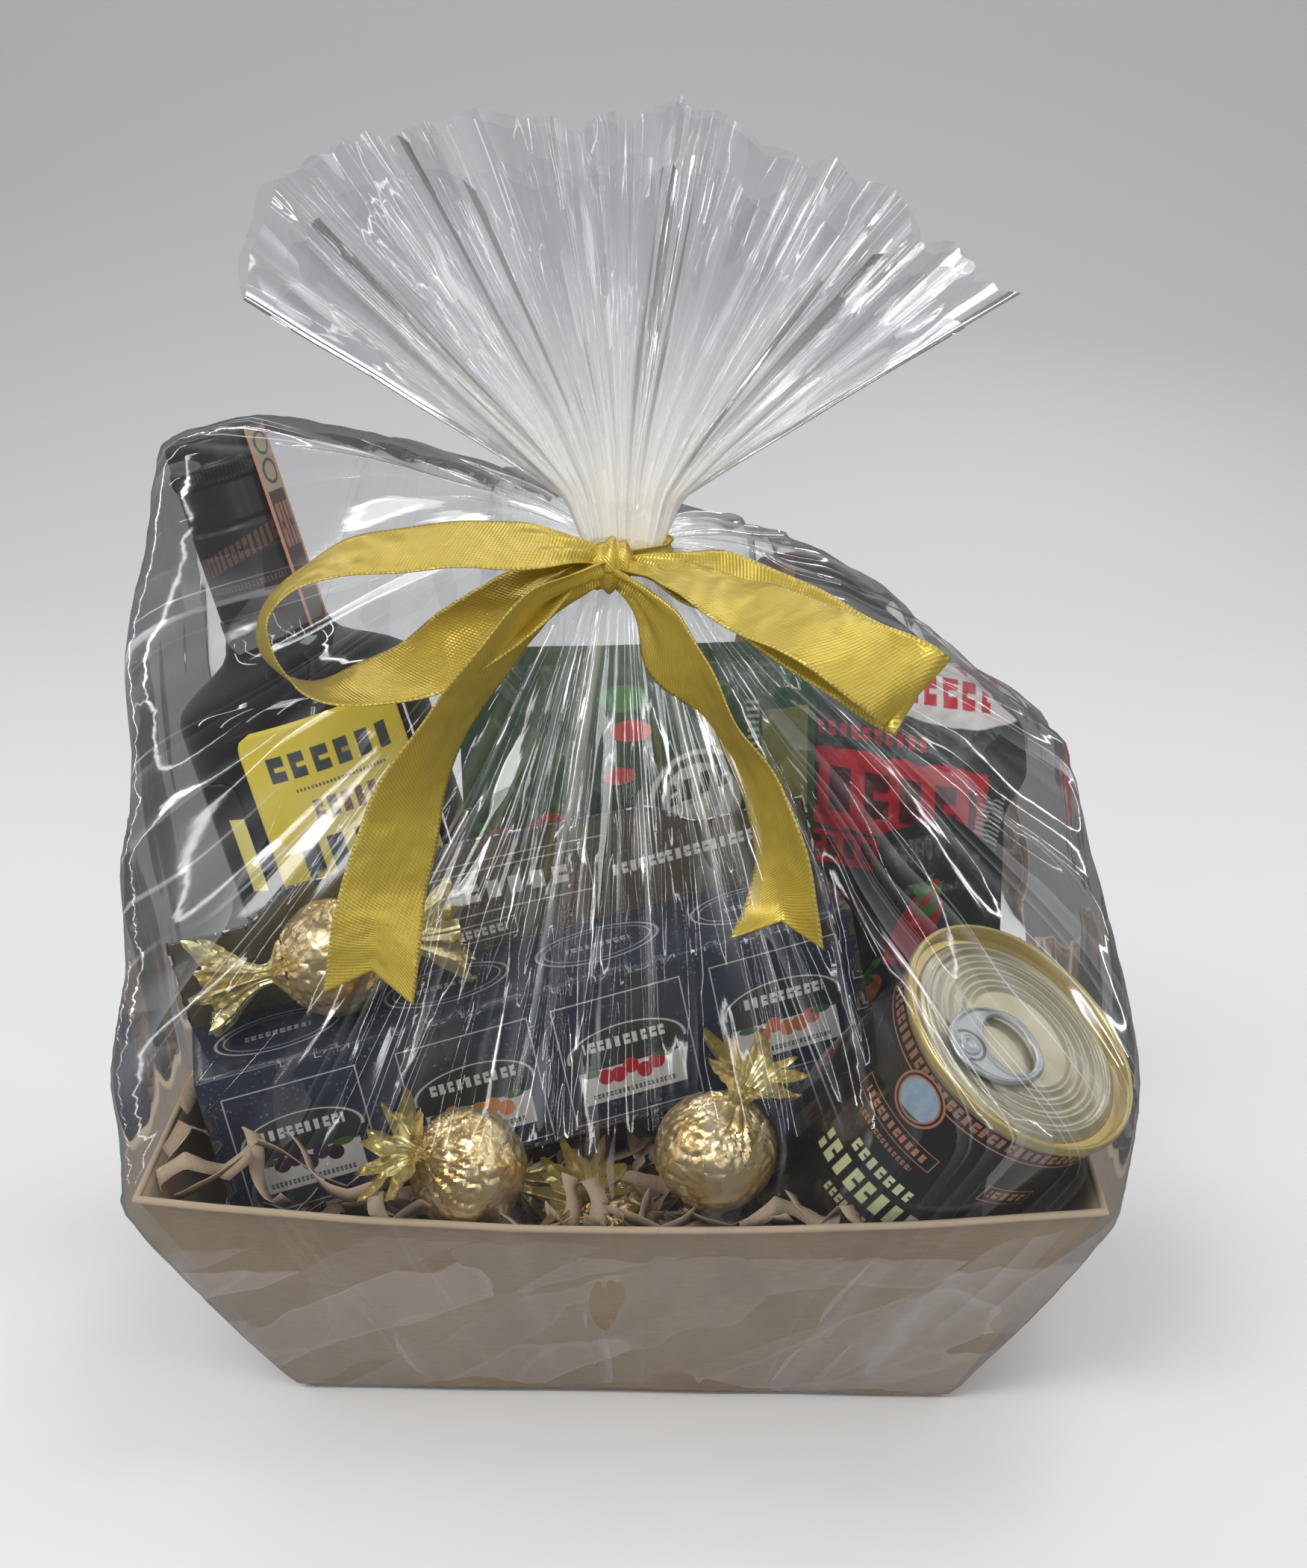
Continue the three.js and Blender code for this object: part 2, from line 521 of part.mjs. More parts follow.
// A flat strip bent into an arch, both ends sunk in the bed.
function stripBody([x, y, z, span, rise, degrees]) {
  const direction = V(1, 0, 0).applyAxisAngle(UP, THREE.MathUtils.degToRad(degrees));
  const { stripWidth, stripThickness, stripSteps } = SHRED;
  const side = V(-direction.y, direction.x, 0).multiplyScalar(stripWidth / 2);
  const sunk = 6;
  const rings = [];
  for (let i = 0; i <= stripSteps; i++) {
    const t = 2 * i / stripSteps - 1;
    const a = V(x, y, z - sunk + (rise + sunk) * (1 - t * t)).addScaledVector(direction, t * span / 2);
    const b = a.clone().addScaledVector(UP, stripThickness);
    rings.push([a.clone().sub(side), a.clone().add(side), b.clone().add(side), b.clone().sub(side)]);
  }
  const pole = (ring) => ring[0].clone().add(ring[2]).divideScalar(2);
  return ringBody(rings, pole(rings[0]), pole(rings[stripSteps]));
}

// The bed fills the tray: a grid whose top has bumps, with a flat bottom just over the tray's floor.
function bedBody() {
  const { cellsX, cellsY, top, bump, backRise, inset } = SHRED;
  const floor = TRAY.z + TRAY.wall + GAP;
  const share = (height) => (height - TRAY.z) / TRAY.height;
  const half = (base, rim, height) => base + (rim - base) * share(height) - inset;
  const bumps = (u, v) => bump * Math.sin(u * 17 + v * 5) * Math.cos(v * 13 - u * 7);
  const height = (u, v) => top - bump + backRise * THREE.MathUtils.smoothstep(v, -0.1, 0.6)
    + bumps(u, v) - 3 * (u * u + v * v);
  const point = (i, j, level) => {
    const [u, v] = [i / cellsX * 2 - 1, j / cellsY * 2 - 1];
    const z = level === "top" ? height(u, v) : floor;
    return V(u * half(TRAY.baseX, TRAY.rimX, z), v * half(TRAY.baseY, TRAY.rimY, z), z);
  };
  const edge = [];
  for (let i = 0; i < cellsX; i++) edge.push([i, 0]);
  for (let j = 0; j < cellsY; j++) edge.push([cellsX, j]);
  for (let i = cellsX; i > 0; i--) edge.push([i, cellsY]);
  for (let j = cellsY; j > 0; j--) edge.push([0, j]);
  const points = [];
  const topIndex = (i, j) => j * (cellsX + 1) + i;
  for (let j = 0; j <= cellsY; j++) for (let i = 0; i <= cellsX; i++) points.push(point(i, j, "top"));
  const index = [];
  for (let j = 0; j < cellsY; j++) {
    for (let i = 0; i < cellsX; i++) {
      const [a, b, c, d] = [topIndex(i, j), topIndex(i + 1, j), topIndex(i + 1, j + 1), topIndex(i, j + 1)];
      index.push(a, b, c, a, c, d);
    }
  }
  const firstLow = points.length;
  edge.forEach(([i, j]) => points.push(point(i, j, "floor")));
  const centre = points.length;
  points.push(V(0, 0, floor));
  edge.forEach(([i, j], k) => {
    const next = edge[(k + 1) % edge.length];
    const [a, b] = [topIndex(i, j), topIndex(...next)];
    const [c, d] = [firstLow + k, firstLow + (k + 1) % edge.length];
    index.push(a, c, d, a, d, b, c, centre, d);
  });
  const geometry = new THREE.BufferGeometry().setFromPoints(points);
  geometry.setIndex(index);
  return outward(geometry);
}

// A cone or cylinder that starts at a point and runs along an axis.
function columnAlong(from, axis, nearRadius, farRadius, length, sides) {
  const round = new THREE.CylinderGeometry(farRadius, nearRadius, length, sides).rotateX(Math.PI / 2)
    .translate(0, 0, length / 2);
  const turn = new THREE.Quaternion().setFromUnitVectors(UP, axis.clone().normalize());
  return welded(round).applyMatrix4(new THREE.Matrix4().compose(from, turn, V(1, 1, 1)));
}

// What the bed makes room for round one sweet.
function sweetClearances({ at, twists }) {
  const ball = new THREE.SphereGeometry(SWEET.radius + 1.7, 10, 7).translate(at.x, at.y, at.z);
  const cones = twists.map((twist) => columnAlong(V(0, twist.bend / 2, 0).add(at), twist.to, SWEET.neck + 2,
    (twist.mouth ?? SWEET.mouth) * 1.12 + 1, twist.to.length() + 1.5, 10));
  return [welded(ball), ...cones];
}

// What the bed makes room for: bodies a little larger than the pieces themselves.
function clearanceBodies() {
  const room = 0.6;
  const bottleAxis = BOTTLE.top.clone().sub(BOTTLE.base).normalize();
  const canAxis = CAN.axis.clone().normalize();
  const box = new THREE.BoxGeometry(CARTON_LENGTH + 2 * room, CARTON.depth + 2 * room, CARTON.height)
    .translate(CARTON_LENGTH / 2, CARTON.depth / 2, CARTON.height / 2 - room);
  const bottleFoot = BOTTLE.base.clone().addScaledVector(bottleAxis, -room);
  const canFoot = CAN.lid.clone().addScaledVector(canAxis, -CAN.length - room);
  return [
    columnAlong(bottleFoot, bottleAxis, BOTTLE.radius + 1.1, BOTTLE.radius + 1.1, 140, 24),
    columnAlong(canFoot, canAxis, CAN.seam + 1, CAN.seam + 1, CAN.length, 24),
    welded(box).applyMatrix4(cartonMatrix()),
    ...PACKS.map((pack) => {
      const pouch = new THREE.Mesh(pouchBody(pack.outline, pack.depth, room));
      return inPlace(placePack(pouch, pack));
    }),
    ...SWEETS.flatMap(sweetClearances),
  ];
}

// The room inside the tray's walls, carried on upwards.
function insideTray() {
  const { z, height, baseX, baseY, rimX, rimY } = TRAY;
  const ring = (share) => rectangle(1, 1, 1, 1).map(([x, y]) => V(
    x * (baseX - SHRED.inset + (rimX - baseX) * share),
    y * (baseY - SHRED.inset + (rimY - baseY) * share), z + share * height));
  return ringBody([ring(0), ring(1.3)], V(0, 0, z), V(0, 0, z + 1.3 * height));
}

function shredBody() {
  const room = joined(clearanceBodies());
  const bed = joined([bedBody(), ...STRIPS.map(stripBody)]).subtract(room).intersect(toSolid(insideTray()));
  const pieces = bed.decompose().sort((a, b) => b.volume() - a.volume());
  return toGeometry(pieces[0]);
}

// The gathered neck and its pleated fan as a closed body. An inset of one wall gives its hollow.
function fanBody(inset) {
  const { neck, neckRadius, tieRadius, tieHeight, columns, fanAngle, fanReach, fanTipReach } = FILM;
  const lobe = (u) => FILM.lobeReach * Math.exp(-(((u - FILM.lobeAt) / FILM.lobeWidth) ** 2));
  const hollow = inset > 0;
  const top = hollow ? 1.03 : 1;
  const round = (radius, height, pleat) => Array.from({ length: columns }, (_, k) => {
    const angle = k / columns * Math.PI * 2;
    const size = radius - inset + (k % 2 ? pleat : -pleat);
    return V(neck.x + Math.cos(angle) * size, neck.y + Math.sin(angle) * size, height);
  });
  const fan = (t) => Array.from({ length: columns }, (_, k) => {
    const back = k <= columns / 2;
    const share = back ? k / (columns / 2) : (columns - k) / (columns / 2);
    const u = 1 - 2 * share;
    const flat = THREE.MathUtils.smoothstep(t, 0, 0.35);
    const angle = k / columns * Math.PI * 2;
    const start = THREE.MathUtils.lerp(Math.cos(angle), u, flat) * (tieRadius - inset);
    const ragged = 3 * Math.sin(k * 2.1);
    const reach = (fanReach + fanTipReach * u * u + lobe(u) + ragged) * t * (hollow ? 1.001 : 1);
    const depth = THREE.MathUtils.lerp(tieRadius, FILM.fanDepth, t) - inset;
    const bulge = (back ? 1 : -1) * depth * Math.sqrt(Math.max(0, 1 - u * u));
    const pleat = (k % 2 ? 1 : -1) * (0.8 + (FILM.fanPleat - 0.8) * t);
    const atEnd = k === 0 || k === columns / 2;
    const squeeze = atEnd ? -Math.sign(u) * inset : 0;
    return V(
      neck.x + start + Math.sin(fanAngle * u) * reach + squeeze,
      neck.y + bulge + pleat * (atEnd ? 0.3 : 1),
      neck.z + tieHeight + Math.cos(fanAngle * u) * reach);
  });
  const rings = [
    round(neckRadius - 3, neck.z - 22, 0), round(neckRadius, neck.z - 9, 0.5),
    round(tieRadius, neck.z, 0.7),
    fan(0.04), fan(0.14), fan(0.4), fan(0.7), fan(top),
  ];
  return capped(rings, V(neck.x, neck.y, neck.z - 22 - (hollow ? 6 : 0)));
}

// Closes rings with a pole below and, above, straight across from the back half to the front half.
function capped(rings, pole) {
  const count = rings[0].length;
  const points = [...rings.flat(), pole];
  const poleIndex = points.length - 1;
  const index = [];
  const at = (row, k) => row * count + (k % count);
  for (let row = 0; row < rings.length - 1; row++) {
    for (let k = 0; k < count; k++) {
      const [a, b, c, d] = [at(row, k), at(row, k + 1), at(row + 1, k + 1), at(row + 1, k)];
      index.push(a, b, c, a, c, d);
    }
  }
  const last = rings.length - 1;
  for (let k = 0; k < count; k++) index.push(poleIndex, at(0, k + 1), at(0, k));
  for (let k = 0; k < count / 2; k++) {
    const [a, b] = [at(last, k), at(last, k + 1)];
    const [c, d] = [at(last, count - k - 1), at(last, count - k)];
    if (k > 0) index.push(a, c, d);
    if (k < count / 2 - 1) index.push(a, b, c);
  }
  const geometry = new THREE.BufferGeometry().setFromPoints(points);
  geometry.setIndex(index);
  return outward(geometry);
}

// The convex hull of points as a closed geometry.
function hullBody(points) {
  const hull = new ConvexHull().setFromPoints(points);
  const corners = [];
  hull.faces.forEach((face) => {
    let side = face.edge;
    do {
      corners.push(side.head().point.clone());
      side = side.next;
    } while (side !== face.edge);
  });
  return welded(new THREE.BufferGeometry().setFromPoints(corners));
}

// The film: the hull of all that it holds, and the fan, less the same two made smaller. It is cut in
// two under the ribbon's band, into the sack and the fan.
function filmBodies(contents) {
  const held = [...FILM_CORNERS.map((p) => p.clone())];
  contents.forEach((mesh) => {
    const p = inPlace(mesh).attributes.position;
    for (let i = 0; i < p.count; i++) held.push(V().fromBufferAttribute(p, i));
  });
  const { neck, neckRadius, centre, inside, outside, wall, tieCut } = FILM;
  for (let k = 0; k < 16; k++) {
    held.push(V(neckRadius, 0, -12).applyAxisAngle(UP, k / 8 * Math.PI).add(neck));
  }
  const pushed = (factor) => {
    const points = held.map((p) => p.clone().sub(centre).multiplyScalar(factor).add(centre));
    return toSolid(hullBody(points));
  };
  const outer = pushed(outside).add(toSolid(fanBody(0)));
  const hollow = pushed(inside).add(toSolid(fanBody(wall)));
  const slab = new THREE.BoxGeometry(44, 44, GAP).translate(neck.x, neck.y, tieCut);
  const parts = outer.subtract(hollow).subtract(toSolid(welded(slab))).decompose();
  const [fan, sack] = parts.sort((a, b) => b.boundingBox().max[2] - a.boundingBox().max[2]);
  return { sack: toGeometry(sack), fan: toGeometry(fan) };
}

add("tray", trayBody(), "kraft");
addBottle();
addCarton();
addCan();
PACKS.forEach((pack) => placePack(add(pack.name, pouchBody(pack.outline, pack.depth), "pack"), pack));
SWEETS.forEach((sweet, i) => add(`foil_sweet_${i + 1}`, sweetBody(sweet), "foil"));
const contents = [];
basket.traverse((object) => { if (object.isMesh) contents.push(object); });
add("paper_shred", shredBody(), "shred");
const film = filmBodies(contents);
add("film_sack", film.sack, "film");
add("film_fan", film.fan, "film");
add("ribbon_bow", bowBody(), "ribbon");

export default basket;
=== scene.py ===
"""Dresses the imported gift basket: board tray, shredded paper, bottle, can, carton, packs, foil sweets,
clear film and satin bow, with the camera, lights and backdrop.

Pieces are worked out in millimetres in the basket's own frame and put into Blender in metres.
"""

from __future__ import annotations

import logging
import math
from collections.abc import Callable
from dataclasses import dataclass, field
from enum import Enum

import bmesh
import bpy
import numpy as np
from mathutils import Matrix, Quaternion, Vector


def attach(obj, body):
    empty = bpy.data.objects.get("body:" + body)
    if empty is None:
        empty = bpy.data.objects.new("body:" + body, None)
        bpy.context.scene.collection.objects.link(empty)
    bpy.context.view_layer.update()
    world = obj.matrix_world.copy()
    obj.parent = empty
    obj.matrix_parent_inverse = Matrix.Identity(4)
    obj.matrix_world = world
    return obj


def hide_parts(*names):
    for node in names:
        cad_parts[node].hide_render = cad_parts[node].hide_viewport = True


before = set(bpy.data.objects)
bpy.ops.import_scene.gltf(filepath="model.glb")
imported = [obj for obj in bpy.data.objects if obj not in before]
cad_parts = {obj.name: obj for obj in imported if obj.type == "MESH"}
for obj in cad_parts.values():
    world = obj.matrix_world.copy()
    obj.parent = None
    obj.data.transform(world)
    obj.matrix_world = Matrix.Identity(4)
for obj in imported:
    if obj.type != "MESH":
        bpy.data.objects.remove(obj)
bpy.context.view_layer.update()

LOG = logging.getLogger("basket")
MM = 0.001
TAU = 2 * math.pi
cos, sin = np.cos, np.sin
Array = np.ndarray
Spot = tuple[float, float, float]
Colour = Spot
Route = tuple[tuple[float, ...], ...]
Socket = bpy.types.NodeSocket
Paint = Colour | Socket


# Working out shapes


def unit(vectors: Array) -> Array:
    """Scales vectors along the last axis to length one."""
    return vectors / np.maximum(np.linalg.norm(vectors, axis=-1, keepdims=True), 1e-9)


def stacked(x: Array | float, y: Array | float, z: Array | float) -> Array:
    """Three arrays or numbers, spread to a common shape, as one array of vectors."""
    return np.stack(np.broadcast_arrays(x, y, z), -1)


def turns(count: int) -> Array:
    """Angles at even steps round a circle."""
    return np.arange(count) / count * TAU


def run_along(points: Array) -> Array:
    """The length of a path up to each of its points."""
    return np.concatenate([[0], np.cumsum(np.linalg.norm(np.diff(points, axis=0), axis=1))])


def smooth(x: Array | float, low: float, high: float) -> Array:
    """Eases from 0 at low to 1 at high: t squared times (3 - 2 t), with t the clamped share of the way."""
    t = np.clip((np.asarray(x, float) - low) / (high - low), 0, 1)
    return t * t * (3 - 2 * t)


def hump(x: Array, middle: float, width: float) -> Array:
    """A bell: e to the minus square of the distance from the middle over the width."""
    return np.exp(-(((x - middle) / width) ** 2))


@dataclass
class Ripple:
    """Soft noise in space: a sum of sine waves in random directions, about -2 to 2.

    Attributes:
        seed: picks the directions and phases.
        wavelength: the middle of the wavelengths, in the points' own units.
        waves: how many waves are added.
    """

    seed: int
    wavelength: float
    waves: int = 20

    def __call__(self, points: Array) -> Array:
        """Adds the waves at each point.

        Args:
            points: an array whose last axis is a place in space.

        Returns:
            One number for each point.
        """
        rng = np.random.default_rng(self.seed)
        ways = unit(rng.normal(size=(self.waves, points.shape[-1])))
        ways = ways * (TAU / self.wavelength) * rng.uniform(0.6, 1.6, (self.waves, 1))
        phases = rng.uniform(0, TAU, self.waves)
        return sin(points @ ways.T + phases).sum(-1) * math.sqrt(2 / self.waves)


def pleated(x: Array) -> Array:
    """A triangle wave from -1 to 1, of period 1: four times the distance to the nearest half, less one."""
    return 4 * np.abs((np.asarray(x) % 1) - 0.5) - 1


def ridged(values: Array) -> Array:
    """Turns soft noise into creases: 1 on the noise's zero lines, falling away on both sides."""
    return 1 - np.minimum(np.abs(values), 1)


@dataclass
class Surface:
    """A mesh being worked out: points in mm, faces as point numbers, and vectors carried by the points."""

    points: Array
    quads: Array
    tris: Array = field(default_factory=lambda: np.zeros((0, 3), int))
    data: dict[str, Array] = field(default_factory=dict)

    @staticmethod
    def grid(points: Array, around: bool = False, poles: bool = False, **data: Array) -> Surface:
        """Joins a grid of points, rows by columns, with four-sided faces.

        Args:
            points: the grid, rows by columns by 3.
            around: joins the last column to the first.
            poles: closes the first and last row, each on a point in its middle.
            data: vectors to carry, each rows by columns by 3.

        Returns:
            The surface. A row's faces look along rows crossed with columns.
        """
        rows, columns = points.shape[:2]
        number = np.arange(rows * columns).reshape(rows, columns)
        ahead = np.roll(number, -1, axis=1) if around else number[:, 1:]
        here = number if around else number[:, :-1]
        quads = np.stack([here[:-1], ahead[:-1], ahead[1:], here[1:]], -1).reshape(-1, 4)
        grids = {"": points, **data}
        flat = {name: grid.reshape(-1, 3) for name, grid in grids.items()}
        tris = np.zeros((0, 3), int)
        if poles:
            for name, grid in grids.items():
                flat[name] = np.vstack([flat[name], grid[0].mean(0), grid[-1].mean(0)])
            pole = np.full(columns, rows * columns)
            low = np.stack([pole, np.roll(number[0], -1), number[0]], -1)
            high = np.stack([pole + 1, number[-1], np.roll(number[-1], -1)], -1)
            tris = np.vstack([low, high])
        return Surface(flat.pop(""), quads, tris, flat)

    @staticmethod
    def joined(parts: list[Surface]) -> Surface:
        """Puts several surfaces into one."""
        starts = np.cumsum([0] + [len(part.points) for part in parts[:-1]])
        return Surface(
            np.vstack([part.points for part in parts]),
            np.vstack([part.quads + start for part, start in zip(parts, starts)]),
            np.vstack([part.tris + start for part, start in zip(parts, starts)]),
            {name: np.vstack([part.data[name] for part in parts]) for name in parts[0].data},
        )

    def placed(self, place: Place) -> Surface:
        """Carries the surface from a piece's own frame into the basket's."""
        return Surface(place(self.points), self.quads, self.tris, self.data)


@dataclass(frozen=True)
class Place:
    """A piece's own frame: its origin in the basket's frame, in mm, and its three axes as rows."""

    origin: Spot
    axes: tuple[Spot, ...]

    def __call__(self, points: Array) -> Array:
        """Carries points into the basket's frame."""
        return points @ np.array(self.axes) + np.array(self.origin)

    @staticmethod
    def along(origin: Spot, axis: Spot) -> Place:
        """A frame whose Z runs along an axis, tilted there from upright by the shortest turn."""
        turn = Vector((0, 0, 1)).rotation_difference(Vector(axis))
        return Place(origin, tuple(tuple(turn @ Vector(row)) for row in np.eye(3)))

    @staticmethod
    def turned(origin: Spot, turn: float, lean: float) -> Place:
        """A frame leaned about X and then turned about Z, both in degrees."""
        spin = Quaternion((0, 0, 1), math.radians(turn)) @ Quaternion((1, 0, 0), math.radians(lean))
        return Place(origin, tuple(tuple(spin @ Vector(row)) for row in np.eye(3)))


def lathe(profile: list[tuple[float, float]], sides: int, steps: float = 1.5) -> Surface:
    """Turns a profile of (radius, height) about Z.

    Args:
        profile: corners from the axis at one end to the axis at the other; its own steps are divided.
        sides: columns round the axis.
        steps: the longest row, in mm.

    Returns:
        The closed surface. It carries local: the angle from the front in degrees, the radius and the height.
    """
    corners = np.array(profile, float)
    counts = np.maximum(1, np.ceil(np.linalg.norm(np.diff(corners, axis=0), axis=1) / steps).astype(int))
    rows = [corners[:1]]
    for start, end, count in zip(corners[:-1], corners[1:], counts):
        rows.append(start + (end - start) * (np.arange(1, count + 1)[:, None] / count))
    path = np.vstack(rows)[1:-1]
    radius, height = path[path[:, 0] > 1e-6].T[..., None]
    angle = turns(sides)
    degrees = np.degrees((angle + math.pi) % TAU - math.pi)
    points = stacked(radius * sin(angle), -radius * cos(angle), height)[:, ::-1]
    return Surface.grid(points, True, True, local=stacked(degrees, radius, height)[:, ::-1])


def below(top: float, *corners: tuple[float, float]) -> list[tuple[float, float]]:
    """Corners of a profile given as (radius, depth under the top), as (radius, height)."""
    return [(radius, top - depth) for radius, depth in corners]


def curve_through(stations: Array, count: int) -> Array:
    """A smooth curve through points: centripetal Catmull-Rom, taken at even steps of its length.

    Args:
        stations: the points, n by any number of values; the first three are the place.
        count: how many samples to return.

    Returns:
        The samples, count by the same number of values.
    """
    ends = np.vstack([2 * stations[0] - stations[1], stations, 2 * stations[-1] - stations[-2]])
    gaps = np.maximum(np.linalg.norm(np.diff(ends[:, :3], axis=0), axis=1), 1e-4) ** 0.5
    share = np.linspace(0, 1, 40)[:, None]
    spans = []
    for i in range(1, len(ends) - 2):
        a, b, c, d = ends[i - 1 : i + 3]
        before, here, after = gaps[i - 1 : i + 2]
        leave = ((b - a) / before - (c - a) / (before + here) + (c - b) / here) * here
        meet = ((c - b) / here - (d - b) / (here + after) + (d - c) / after) * here
        square, cube = share**2, share**3
        spans.append((2 * cube - 3 * square + 1) * b + (cube - 2 * square + share) * leave
                     + (3 * square - 2 * cube) * c + (cube - square) * meet)
    fine = np.vstack([spans[0]] + [span[1:] for span in spans[1:]])
    run = run_along(fine[:, :3])
    wanted = np.linspace(0, run[-1], count)
    return np.stack([np.interp(wanted, run, fine[:, k]) for k in range(fine.shape[1])], -1)


def swept(stations: Array, rows: int, columns: int, half: Array, lift: Array) -> Surface:
    """Carries a flat section along a curve.

    Args:
        stations: n by 6: a middle point and the direction across.
        rows: samples along the curve.
        columns: samples across.
        half: half the width at each row.
        lift: rows by columns, how far each point stands off the flat section, along its normal.

    Returns:
        The open strip. It carries local: mm across from the middle, mm along and the share along.
    """
    samples = curve_through(stations, rows)
    middle = samples[:, :3]
    tangent = unit(np.gradient(middle, axis=0))
    across = unit(samples[:, 3:] - (samples[:, 3:] * tangent).sum(-1, keepdims=True) * tangent)
    normal = np.cross(tangent, across)
    x = np.linspace(-1, 1, columns)
    aside = x * half[:, None]
    points = middle[:, None] + across[:, None] * aside[..., None] + normal[:, None] * lift[..., None]
    run = run_along(middle)[:, None]
    return Surface.grid(points, local=stacked(aside, run, run / run[-1]))


# Shaders


def operation(kind: str, swapped: bool = False) -> Callable[..., Number]:
    """A method of Number that adds one Math node.

    Args:
        kind: the node's operation.
        swapped: puts the other number first.

    Returns:
        The method.
    """
    def method(self: Number, *others: Amount) -> Number:
        """Works out the node on this number and the others."""
        return self.shader.math(kind, *((*others, self) if swapped else (self, *others)))
    return method


class Number:
    """A number in a shader. It wraps a socket, and arithmetic on it adds Math nodes."""

    __add__ = __radd__ = operation("ADD")
    __sub__ = operation("SUBTRACT")
    __rsub__ = operation("SUBTRACT", swapped=True)
    __mul__ = __rmul__ = operation("MULTIPLY")
    __truediv__ = operation("DIVIDE")
    __pow__ = operation("POWER")
    __abs__ = operation("ABSOLUTE")
    lowest = operation("MINIMUM")
    floor = operation("FLOOR")
    fract = operation("FRACT")
    sine = operation("SINE")

    def __init__(self, shader: Shader, socket: Socket) -> None:
        """Keeps the shader and the socket that gives the number."""
        self.shader = shader
        self.socket = socket

    def rise(self, low: float, high: float) -> Number:
        """Eases from 0 at low to 1 at high."""
        settings = {"interpolation_type": "SMOOTHSTEP"}
        node = self.shader.node("MapRange", settings, {"Value": self, "From Min": low, "From Max": high})
        return Number(self.shader, node.outputs["Result"])

    def fall(self, low: float, high: float) -> Number:
        """Eases from 1 at low to 0 at high."""
        return 1 - self.rise(low, high)

    def within(self, low: float, high: float, soft: float = 0.12) -> Number:
        """1 between low and high, with edges soft wide on each side."""
        return self.rise(low - soft, low + soft) * self.fall(high - soft, high + soft)


Amount = Number | float


